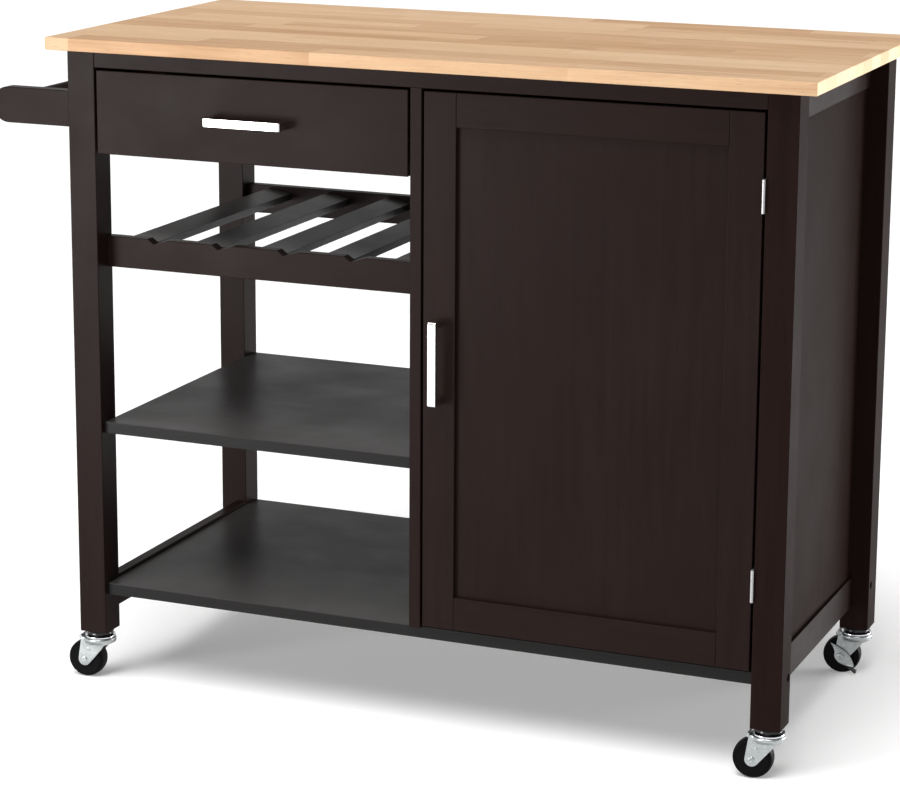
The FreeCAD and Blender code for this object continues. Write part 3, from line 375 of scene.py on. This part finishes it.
# Painted sheen: the slats take a still lighter grey base than the lacquer, standing in for the bright
# reflection on their tops; their edges carry painted shade (edge=0.22).
SLAT_LACQUER = lacquered_wood(
    "lacquer_slat",
    "y",
    sheen=0.12,
    gloss=0.36,
    edge=0.22,
    dark=(0.112, 0.109, 0.108),
    light=(0.126, 0.122, 0.121),
)
DRAWER_WOOD = lacquered_wood("stained_ply", "y", sheen=0.2, gloss=0.50)
BLOCK = butcher_block("butcher_block")
NICKEL = polished_metal("polished_nickel", (0.86, 0.85, 0.84), 0.07)
PLATED = polished_metal("plated_steel", (0.44, 0.43, 0.43), 0.32, 0.06)
ZINC = zinc_plate("zinc_plate")
RUBBER = moulded("wheel_rubber", (0.0015, 0.0015, 0.0015), (0.004, 0.004, 0.004), 0.38)
BLACK = moulded("black_plastic", (0.002, 0.002, 0.002), (0.005, 0.005, 0.005), 0.10, 0.5, 500.0, 0.00003)
CHROME = polished_metal("bright_chrome", (0.80, 0.81, 0.82), 0.10, 0.02)
# Near-black steel for the frame bolt heads; on the brake toes it stands as painted shade.
BLACK_STEEL_AND_PAINTED_SHADE = polished_metal("black_steel_and_painted_shade", (0.05, 0.05, 0.052), 0.30, 0.05)
RUNNER = powder_coat("runner_coat", (0.72, 0.71, 0.68))

FINISHES = [
    (LACQUER["z"], ["leg_front_left", "leg_back_left"]),
    (END_LACQUER, ["leg_front_right", "leg_back_right", "end_panel"]),
    (LACQUER["z"], ["divider_panel", "door_stile_left", "door_stile_right"]),
    (PANEL_LACQUER, ["door_panel", "cabinet_back_panel"]),
    (BOARD_LACQUER, ["bottom_board", "middle_shelf", "cabinet_shelf"]),
    (LACQUER["x"], ["top_front_rail", "top_back_rail"]),
    (LACQUER["x"], ["wine_rack_front_rail", "wine_rack_back_rail", "drawer_front"]),
    (LACQUER["x"], ["door_rail_top", "door_rail_bottom", "towel_arm_front", "towel_arm_back"]),
    (LACQUER["y"], ["top_left_rail", "top_right_rail", "towel_rod"]),
    (LACQUER["y"], ["bottom_left_rail", "bottom_right_rail"]),
    (SLAT_LACQUER, [f"wine_slat_{number}" for number in range(1, 6)]),
    (DRAWER_WOOD, ["drawer_side_left", "drawer_side_right", "drawer_back", "drawer_bottom"]),
    (BLOCK, ["worktop"]),
    (NICKEL, ["drawer_handle", "door_handle"]),
    (PLATED, ["frame_bolts", "shelf_pins", "door_catch_plate"]),
    (PLATED, ["drawer_handle_screws", "door_handle_screws"]),
    (PLATED, ["hinge_frame_leaves", "hinge_door_leaves"]),
    (RUNNER, ["drawer_runners", "drawer_sliders"]),
    (BLACK, ["door_catch"]),
    (ZINC, ["caster_mounts", "brake_pedal_back_left", "brake_pedal_back_right"]),
    (ZINC, ["caster_fork_" + corner for corner in CORNERS]),
    (RUBBER, ["caster_wheel_" + corner for corner in CORNERS]),
]
for finish, names in FINISHES:
    for name in names:
        slots = NODES[name].data.materials
        slots.clear()
        slots.append(finish)


# ---------------------------------------------------------------------------
# Mesh helpers
# ---------------------------------------------------------------------------
SEGMENTS = 48
ALONG_Y = Matrix.Rotation(-math.pi / 2, 4, "X")


def polygon_radius(size, sides, angle):
    """Radius of a regular polygon of that inner radius at an angle."""
    step = math.tau / sides
    return size / math.cos((angle + step / 2) % step - step / 2)


def cross_radius(size, angle):
    """Radius of a cross recess of that reach at an angle."""
    turn = abs((angle + math.pi / 4) % (math.pi / 2) - math.pi / 4)
    return min(size, size * 0.22 / max(math.sin(turn), 1e-6))


def ring_radius(size, kind, angle):
    if kind == "hex":
        return polygon_radius(size, 6, angle)
    if kind == "cross":
        return cross_radius(size, angle)
    return size


def skin(shape, rings, closed=False):
    """Join a row of point rings by faces; a ring of one point is a pole."""
    pairs = list(zip(rings, rings[1:]))
    if closed:
        pairs.append((rings[-1], rings[0]))
    for low, high in pairs:
        for step in range(max(len(low), len(high))):
            ahead = step + 1
            corners = [
                low[step % len(low)],
                low[ahead % len(low)],
                high[ahead % len(high)],
                high[step % len(high)],
            ]
            shape.faces.new(list(dict.fromkeys(corners)))


def lathe(shape, profile, place, closed=False):
    """Turn (radius, height, kind) points in mm about Z; a radius of 0 is a pole."""
    rings = []
    for radius, height, *kind in profile:
        if radius == 0:
            rings.append([shape.verts.new(place @ Vector((0.0, 0.0, height * MM)))])
            continue
        ring = []
        for step in range(SEGMENTS):
            angle = math.tau * step / SEGMENTS
            reach = ring_radius(radius, kind[0] if kind else "round", angle)
            spot = Vector((reach * math.cos(angle), reach * math.sin(angle), height)) * MM
            ring.append(shape.verts.new(place @ spot))
        rings.append(ring)
    skin(shape, rings, closed)


def plate(shape, outline, low, high, place, bevel=0.4):
    """Flat plate in mm from an outline in XY and two heights, its rims rounded."""
    rings = [[shape.verts.new(place @ (Vector((x, y, z)) * MM)) for x, y in outline] for z in (low, high)]
    faces = [shape.faces.new(ring) for ring in rings]
    skin(shape, rings)
    rims = {edge for face in faces for edge in face.edges}
    bmesh.ops.bevel(shape, geom=list(rims), offset=bevel * MM, segments=2, affect="EDGES", profile=0.5)


def arc(centre, radius, start, end, steps):
    """Points in mm round part of a circle, angles in degrees."""
    angles = [math.radians(start + (end - start) * step / steps) for step in range(steps + 1)]
    return [
        (centre[0] + radius * math.cos(angle), centre[1] + radius * math.sin(angle))
        for angle in angles
    ]


def smooth_line(points, steps):
    """Catmull-Rom curve through 2-D points, with a number of steps between each two."""
    ends = [points[0], *points, points[-1]]
    line = []
    for a, b, c, d in zip(ends, ends[1:], ends[2:], ends[3:]):
        for step in range(steps):
            t = step / steps
            weights = (
                (-t + 2 * t * t - t**3) / 2,
                (2 - 5 * t * t + 3 * t**3) / 2,
                (t + 4 * t * t - 3 * t**3) / 2,
                (-t * t + t**3) / 2,
            )
            line.append(tuple(sum(w * p[axis] for w, p in zip(weights, (a, b, c, d))) for axis in (0, 1)))
    line.append(points[-1])
    return line


def new_piece(name, shape, finish, body, replaced=()):
    """Turn the mesh under construction into a piece that rides on a body."""
    bmesh.ops.recalc_face_normals(shape, faces=shape.faces)
    mesh = bpy.data.meshes.new(name)
    shape.to_mesh(mesh)
    shape.free()
    mesh.shade_smooth()
    mesh.set_sharp_from_angle(angle=math.radians(35))
    mesh.materials.append(finish)
    piece = bpy.data.objects.new(name, mesh)
    bpy.context.scene.collection.objects.link(piece)
    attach(piece, body)
    if replaced:
        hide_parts(*replaced)


# ---------------------------------------------------------------------------
# Screws and bolts
# ---------------------------------------------------------------------------
def middle(low, high):
    return (low + high) / 2


def build_frame_bolts():
    """Sunk socket heads in the outer faces of the legs."""
    shape = bmesh.new()
    board = middle(*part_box("bottom_board")).z
    shelf = middle(*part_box("middle_shelf")).z
    for corner in CORNERS:
        low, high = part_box("leg_" + corner)
        left = corner.endswith("left")
        y = low.y + 28 * MM if corner.startswith("front") else high.y - 28 * MM
        face = low.x + 2 * MM if left else high.x - 2 * MM
        inwards = Matrix.Rotation(math.pi / 2 if left else -math.pi / 2, 4, "Y")
        for z in (board, shelf) if left else (board,):
            head = [(0, 2.2), (2.3, 2.0, "hex"), (2.3, 0.2, "hex")]
            head += [(2.75, 0.0), (4.2, 0.0), (4.5, 0.15), (4.6, 0.5)]
            shank = [(4.6, 3.0), (3.0, 3.0), (3.0, 62.0), (2.4, 63.0), (0, 63.0)]
            lathe(shape, head + shank, Matrix.Translation((face, y, z)) @ inwards)
    new_piece("frame_bolt_heads", shape, BLACK_STEEL_AND_PAINTED_SHADE, "frame", ["frame_bolts"])


def screw(shape, spot, facing, head_radius, head_tall, length):
    """Cross-recess screw whose head rises along +Z of the facing matrix and whose shank goes down."""
    recess = [
        (0, -0.4 * head_tall),
        (head_radius * 0.45, 0.1 * head_tall, "cross"),
        (head_radius * 0.5, head_tall, "cross"),
    ]
    dome = [
        (head_radius * 0.62, head_tall * 0.98),
        (head_radius * 0.82, head_tall * 0.80),
        (head_radius * 0.95, head_tall * 0.45),
        (head_radius, 0),
    ]
    shank = [(head_radius * 0.5, 0), (head_radius * 0.5, -length + 1), (0, -length)]
    lathe(shape, recess + dome + shank, Matrix.Translation(spot) @ facing)


def build_pull_screws():
    for panel, upright in (("drawer", False), ("door", True)):
        node = panel + "_handle_screws"
        low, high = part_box(node)
        centre = middle(low, high)
        head = 4 * MM
        ends = (low.z + head, high.z - head) if upright else (low.x + head, high.x - head)
        shape = bmesh.new()
        for end in ends:
            x, z = (centre.x, end) if upright else (end, centre.z)
            length = (high.y - low.y) / MM - 2.0
            screw(shape, (x, high.y - 2 * MM, z), ALONG_Y, 4.0, 2.0, length)
        new_piece(panel + "_pull_screws", shape, PLATED, panel, [node])


def build_hinge_screws():
    leg_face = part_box("leg_front_right")[0].x - 1.2 * MM
    door_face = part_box("door_stile_right")[1].x + 1.2 * MM
    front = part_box("leg_front_right")[0].y
    low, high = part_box("hinge_frame_leaves")
    half = 20 * MM
    for body, face, turn in (("frame", leg_face, -math.pi / 2), ("door", door_face, math.pi / 2)):
        shape = bmesh.new()
        facing = Matrix.Rotation(turn, 4, "Y")
        for centre in (low.z + half, high.z - half):
            for lift, back in ((-14, 6), (0, 10), (14, 6)):
                screw(shape, (face, front + back * MM, centre + lift * MM), facing, 2.6, 0.22, 1.0)
        new_piece(f"hinge_screws_{body}", shape, PLATED, body)


# ---------------------------------------------------------------------------
# Casters: X along the trail, Y towards the axle's riveted end, Z up from the floor
# ---------------------------------------------------------------------------
TRAIL = 18.0
WHEEL = 25.0
CHEEK = 13.0
CROWN = 21.0
CROWN_EDGE = 54.0
FLAT_BELOW = 45.0
FLARED_ABOVE = 53.0
SHEET = 2.0
EYE = 8.5
EYE_START = 220.0
EYE_END = 368.0


def caster_frame(corner):
    swivel = Vector(JOINTS["swivel_" + corner]["pos_m"])
    ahead = Vector(JOINTS["spin_" + corner]["pos_m"]) - swivel
    yaw = math.atan2(ahead.y, ahead.x)
    return Matrix.Translation((swivel.x, swivel.y, 0.0)) @ Matrix.Rotation(yaw, 4, "Z")


def on_axle(place, height=0.0):
    """Frame on the wheel's axle, its Z along the axle."""
    return place @ Matrix.Translation((TRAIL * MM, height * MM, WHEEL * MM)) @ ALONG_Y


def fork_half_width(x, z):
    """The fork's outer face: flat cheeks below that flare out to the round crown."""
    crown = math.sqrt(max(CROWN**2 - x**2, 0.0))
    if x < 0 and crown < CHEEK:
        return crown
    rise = min(max((z - FLAT_BELOW) / (FLARED_ABOVE - FLAT_BELOW), 0.0), 1.0)
    return CHEEK + (max(crown, CHEEK) - CHEEK) * rise * rise * (3 - 2 * rise)


def fork_columns():
    """Top and bottom ends, as (x, z), of the columns round one side of the fork."""
    skirt = [(-21.0, 49.5), (-20.6, 49.5), (-19.2, 49.3), (-17.0, 48.9), (-14.0, 48.0)]
    flare = [(-11.4, 46.6), (-9.4, 44.7), (-7.6, 42.0), (-2.8, 36.4), (2.0, 30.7), (6.8, 25.1)]
    eye = arc((TRAIL, WHEEL), EYE, EYE_START, EYE_END, 9)
    bottoms = flare + eye
    step = (22.0 + 14.0) / len(bottoms)
    columns = [((x, CROWN_EDGE), (x, z)) for x, z in skirt]
    for number, bottom in enumerate(bottoms, start=1):
        columns.append(((-14.0 + step * number, CROWN_EDGE), bottom))
    return columns


def fork_column_points(top, bottom, side, y=None):
    """Outer points of one column, from the lower edge up and over the crown to the kingpin hole."""
    points = []
    for share in (0.0, 0.3, 0.6, 0.72, 0.76, 0.80, 0.84, 0.88, 0.92, 0.96, 1.0):
        x = bottom[0] + (top[0] - bottom[0]) * share
        z = bottom[1] + (top[1] - bottom[1]) * share
        points.append(Vector((x, side * fork_half_width(x, z) if y is None else y, z)))
    edge = Vector(points[-1][:2])
    for degrees in (30, 60, 90):
        angle = math.radians(degrees)
        spot = edge * (1 - SHEET * (1 - math.cos(angle)) / edge.length)
        points.append(Vector((*spot, CROWN_EDGE + SHEET * math.sin(angle))))
    for radius in (12.0, 3.8):
        points.append(Vector((*edge.normalized() * radius, CROWN_EDGE + SHEET)))
    return points


def fork_shell(shape, place):
    """The fork, pressed from one sheet."""
    side = fork_columns()
    columns = [fork_column_points(top, bottom, 1) for top, bottom in side]
    for y in (8.0, 3.0, -3.0, -8.0):
        columns.append(fork_column_points((22.0, CROWN_EDGE), (22.0, 51.5), 1, y))
    columns += [fork_column_points(top, bottom, -1) for top, bottom in reversed(side[1:])]
    outer = [[shape.verts.new(place @ (point * MM)) for point in column] for column in columns]
    faces = []
    for here, ahead in zip(outer, outer[1:] + outer[:1]):
        for row in range(len(here) - 1):
            faces.append(shape.faces.new((here[row], here[row + 1], ahead[row + 1], ahead[row])))
    bmesh.ops.recalc_face_normals(shape, faces=faces)
    shape.normal_update()
    sample = outer[0][4]
    outward = sample.co - place @ Vector((0.0, 0.0, sample.co.z))
    flip = 1.0 if sample.normal.dot(outward) > 0 else -1.0
    thickness = flip * SHEET * MM
    inner = [[shape.verts.new(vert.co - vert.normal * thickness) for vert in column] for column in outer]
    for here, ahead in zip(inner, inner[1:] + inner[:1]):
        for row in range(len(here) - 1):
            shape.faces.new((here[row + 1], here[row], ahead[row], ahead[row + 1]))
    rims = []
    for row in (0, -1):
        for number, column in enumerate(outer):
            ahead = (number + 1) % len(outer)
            corners = (column[row], outer[ahead][row], inner[ahead][row], inner[number][row])
            rim = shape.faces.new(corners)
            if row == 0:
                rims += [
                    edge
                    for edge in rim.edges
                    if len({vert in column or vert in outer[ahead] for vert in edge.verts}) == 1
                ]
    bmesh.ops.bevel(shape, geom=list(set(rims)), offset=0.4 * MM, segments=2, affect="EDGES", profile=0.5)


def rivet(shape, place, start, radius, tall):
    """Domed rivet head with a dimple, rising along +Z of the place from a start height."""
    profile = [
        (0, start - 0.5),
        (radius, start - 0.5),
        (radius, start + tall * 0.35),
        (radius * 0.88, start + tall * 0.80),
        (radius * 0.66, start + tall),
        (radius * 0.42, start + tall * 0.92),
        (radius * 0.26, start + tall * 0.35),
        (0, start + tall * 0.25),
    ]
    lathe(shape, profile, place)


def build_fork(corner, braked):
    place = caster_frame(corner)
    shape = bmesh.new()
    fork_shell(shape, place)
    axle = on_axle(place)
    near = 15.3 if braked else CHEEK
    rivet(shape, axle, near, 4.2, 1.3)
    rivet(shape, axle @ Matrix.Rotation(math.pi, 4, "X"), CHEEK, 5.0, 1.3)
    lathe(shape, [(0, -CHEEK), (2.9, -CHEEK), (2.9, near), (0, near)], axle)
    dimple = [(0, -0.6), (2.6, -0.4), (2.5, 0.25), (1.9, 0.55), (1.2, 0.45), (0.8, 0.05), (0, 0.0)]
    for side in (1, -1):
        turn = ALONG_Y if side > 0 else ALONG_Y @ Matrix.Rotation(math.pi, 4, "X")
        lathe(shape, dimple, place @ Matrix.Translation((12 * MM, side * CHEEK * MM, 39.3 * MM)) @ turn)
    lip = place @ Matrix.Translation((23.2 * MM, 0.0, 55.6 * MM)) @ ALONG_Y
    lathe(shape, [(0, -12.4), (2.0, -12.4), (2.4, -12.0), (2.4, 12.0), (2.0, 12.4), (0, 12.4)], lip)
    if braked:
        eye = place @ Matrix.Translation((20.4 * MM, 0.0, 56.8 * MM)) @ ALONG_Y
        for turn in (eye, eye @ Matrix.Rotation(math.pi, 4, "X")):
            boss = [(0, 11.8), (3.4, 11.8), (3.8, 12.2), (3.8, 14.0)]
            boss += [(3.4, 14.4), (2.6, 14.5), (2.2, 14.1), (0, 14.0)]
            lathe(shape, boss, turn)
    body = "fork_" + corner
    new_piece("pressed_fork_" + corner, shape, ZINC, body, ["caster_fork_" + corner])


def build_race(corner):
    """Ball race, kingpin and black cap between the leg and the fork."""
    swivel = caster_frame(corner)
    shape = bmesh.new()
    race = [
        (3.6, 56.3), (18.8, 56.3), (19.6, 56.6), (20.1, 57.2), (20.2, 57.9), (19.9, 58.6), (19.2, 59.0),
        (18.3, 58.8), (17.6, 58.3), (3.6, 58.3),
    ]
    lathe(shape, race, swivel, closed=True)
    kingpin = [(0, 50.0), (4.2, 50.2), (5.6, 50.8), (6.0, 51.5), (3.4, 51.7), (3.4, 58.0), (0, 58.0)]
    lathe(shape, kingpin, swivel)
    return shape


def build_mounts():
    for corner in CORNERS:
        name = "race_" + corner
        new_piece(name, build_race(corner), CHROME, "frame", ["caster_mounts"])
        shape = bmesh.new()
        cap = [
            (0, 58.4), (16.4, 58.4), (16.9, 58.8), (17.0, 60.8), (17.4, 61.4), (17.4, 61.9), (17.0, 62.5),
            (17.0, 63.2), (17.9, 64.0), (18.2, 64.8), (17.8, 65.6), (17.0, 65.9), (0, 65.9),
        ]
        lathe(shape, cap, caster_frame(corner))
        stem = [(0, 65.5), (3.9, 65.5), (3.9, 98.0), (3.0, 99.0), (0, 99.0)]
        lathe(shape, stem, caster_frame(corner))
        new_piece("cap_" + corner, shape, BLACK, "frame")


def build_wheel(corner):
    """Moulded wheel: hub, shallow cone, groove and a crowned tread."""
    shape = bmesh.new()
    half = [
        (3.1, 10.7), (7.4, 10.7), (8.0, 10.3), (8.3, 9.2), (9.0, 8.9), (14.0, 9.1), (20.6, 9.3), (21.2, 8.7),
        (21.9, 8.7), (22.3, 9.1), (23.2, 8.8), (24.0, 8.0), (24.5, 6.6), (24.85, 4.0), (25.0, 0.0),
    ]
    profile = half + [(radius, -height) for radius, height in reversed(half[:-1])]
    lathe(shape, profile, on_axle(caster_frame(corner)), closed=True)
    body = "wheel_" + corner
    replaced = ["caster_wheel_" + corner]
    new_piece("moulded_wheel_" + corner, shape, RUBBER, body, replaced)


LEAF_TIP = (-22.8, -3.4)
LEAF_TOE = (22.6, -3.2)
LEAF_TOP = [LEAF_TIP, (-16.5, -2.2), (-10.5, 0.4), (-5.3, 5.0), (2.7, 7.6), (10.0, 5.4)]
LEAF_TOP += [(16.8, 0.6), LEAF_TOE]
LEAF_FOOT = [LEAF_TIP, (-17.0, -6.0), (-11.0, -7.9), (-3.1, -9.9), (5.0, -10.2), (11.5, -9.0)]
LEAF_FOOT += [(17.5, -6.6), LEAF_TOE]
PEDAL_PITCH = math.radians(43)


def outline(columns):
    """The points round the edge of a grid of points, in order."""
    near = [column[0] for column in columns]
    far = [column[-1] for column in reversed(columns[:-1])]
    return near + columns[-1][1:] + far + columns[0][-2:0:-1]


def build_pedal(corner):
    """Cupped leaf of a wheel brake, with its toe and the bar in front of the tread; the toe is near-black as
    painted shade.
    """
    place = caster_frame(corner)
    pitched = on_axle(place) @ Matrix.Rotation(math.pi - PEDAL_PITCH, 4, "Z")
    down_the_leaf = pitched @ Matrix.Rotation(math.pi, 4, "X")
    down_the_leaf = down_the_leaf @ Matrix.Scale(-1.0, 4, (0.0, 0.0, 1.0))
    shape = bmesh.new()
    top = smooth_line(LEAF_TOP, 4)
    foot = smooth_line(LEAF_FOOT, 4)
    layers = []
    for thick in (0.0, 0.8):
        grid = []
        for high, low in zip(top[1:-1], foot[1:-1]):
            column = []
            for step in range(11):
                across = step / 5 - 1
                u = (high[0] + low[0]) / 2 + (high[0] - low[0]) / 2 * across
                w = (high[1] + low[1]) / 2 + (high[1] - low[1]) / 2 * across
                lift = 13.4 + thick + 1.0 * abs(across) ** 5
                column.append(shape.verts.new(down_the_leaf @ (Vector((u, w, lift)) * MM)))
            grid.append(column)
        for here, ahead in zip(grid, grid[1:]):
            for row in range(len(here) - 1):
                shape.faces.new((here[row], here[row + 1], ahead[row + 1], ahead[row]))
        layers.append(grid)
    under, over = layers
    rim, top_rim = outline(under), outline(over)
    skin(shape, [rim, top_rim])
    mark = [(0, 13.8), (1.7, 13.8), (1.6, 14.5), (1.2, 14.75), (0.8, 14.45), (0, 14.4)]
    for u, w in ((-9.5, -3.4), (5.0, -5.6)):
        lathe(shape, mark, down_the_leaf @ Matrix.Translation((u * MM, w * MM, 0.0)))
    body = "brake_" + corner
    new_piece("brake_leaf_" + corner, shape, ZINC, body, ["brake_pedal_" + corner])

    shape = bmesh.new()
    toe = [(13.0, -1.6), (27.6, -0.6), *arc((28.0, 1.6), 2.2, -90, 90, 6), (13.0, 4.6)]
    plate(shape, toe, 10.4, 13.3, down_the_leaf, 0.5)
    lug = down_the_leaf @ Matrix.Translation((28.0 * MM, 1.6 * MM, 0.0))
    lathe(shape, [(0, 5.0), (1.3, 5.0), (1.7, 5.4), (1.7, 11.0), (0, 11.0)], lug)
    # Painted shade: the toe is finished near-black for the shade it lies in under the leaf.
    new_piece("brake_toe_" + corner, shape, BLACK_STEEL_AND_PAINTED_SHADE, body)


build_frame_bolts()
build_pull_screws()
build_hinge_screws()
build_mounts()
for corner in CORNERS:
    build_fork(corner, corner.startswith("back"))
    build_wheel(corner)
    if corner.startswith("back"):
        build_pedal(corner)


# ---------------------------------------------------------------------------
# Camera, floor and light
# ---------------------------------------------------------------------------
def build_camera():
    low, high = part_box("worktop")
    top_middle = Vector(((low.x + high.x) / 2, (low.y + high.y) / 2, high.z))
    data = bpy.data.cameras.new("camera")
    data.sensor_width = 36.0
    data.lens = 114.4
    data.shift_y = -0.08
    data.clip_end = 60.0
    camera = bpy.data.objects.new("camera", data)
    bpy.context.scene.collection.objects.link(camera)
    camera.location = top_middle + Vector((1.344, -3.360, 0.434))
    yaw, pitch, roll = math.radians(22.5), math.radians(12.6), math.radians(-0.33)
    turn = Matrix.Rotation(yaw, 4, "Z") @ Matrix.Rotation(math.pi / 2 - pitch, 4, "X")
    camera.rotation_euler = (turn @ Matrix.Rotation(-roll, 4, "Z")).to_euler()
    bpy.context.scene.camera = camera


FLOOR_REACH = 40.0
OVERHEAD_STRENGTH = 2.85
OVERHEAD_WIDTH = math.radians(44.0)
OVERHEAD_FROM = (-0.08, -0.44, 1.0)
LOW_SKY = 0.1
HIGH_SKY = 0.5
HORIZON_GLOW = 0.95
ZENITH_GLOW = 0.12


def build_floor():
    mesh = bpy.data.meshes.new("floor")
    shape = bmesh.new()
    bmesh.ops.create_grid(shape, x_segments=2, y_segments=2, size=FLOOR_REACH)
    shape.to_mesh(mesh)
    shape.free()
    floor = bpy.data.objects.new("floor", mesh)
    bpy.context.scene.collection.objects.link(floor)
    mesh.materials.append(pale_floor("pale_floor"))


def soft_light(name, place, target, size, power, colour=(1.0, 1.0, 1.0)):
    data = bpy.data.lights.new(name, "AREA")
    data.shape = "RECTANGLE"
    data.size, data.size_y = size
    data.energy = power
    data.color = colour
    light = bpy.data.objects.new(name, data)
    light.location = place
    light.rotation_euler = (Vector(target) - Vector(place)).to_track_quat("-Z", "Y").to_euler()
    light.visible_camera = False
    bpy.context.scene.collection.objects.link(light)


def build_light():
    world = bpy.data.worlds.new("studio")
    world.use_nodes = True
    nodes, links = world.node_tree.nodes, world.node_tree.links
    around = nodes.new("ShaderNodeTexCoord")
    height = nodes.new("ShaderNodeSeparateXYZ")
    fade = nodes.new("ShaderNodeMapRange")
    for socket, setting in zip(fade.inputs[1:5], (LOW_SKY, HIGH_SKY, HORIZON_GLOW, ZENITH_GLOW)):
        socket.default_value = setting
    links.new(around.outputs["Generated"], height.inputs[0])
    links.new(height.outputs[2], fade.inputs[0])
    links.new(fade.outputs[0], nodes["Background"].inputs[1])
    nodes["Background"].inputs[0].default_value = (1.0, 1.0, 1.0, 1.0)
    bpy.context.scene.world = world

    sky = bpy.data.lights.new("overhead", "SUN")
    sky.energy = OVERHEAD_STRENGTH
    sky.angle = OVERHEAD_WIDTH
    overhead = bpy.data.objects.new("overhead", sky)
    overhead.rotation_euler = Vector(OVERHEAD_FROM).to_track_quat("Z", "Y").to_euler()
    bpy.context.scene.collection.objects.link(overhead)

    soft_light("left_softbox", (-1.63, -2.44, 0.50), (-0.3, 0.0, 0.7), (1.1, 1.0), 52.0)
    soft_light("right_softbox", (2.1, 1.2, 0.25), (0.53, 0.0, 0.2), (1.2, 0.5), 42.0)
    bpy.context.scene.view_settings.view_transform = "Standard"


build_camera()
build_floor()
build_light()
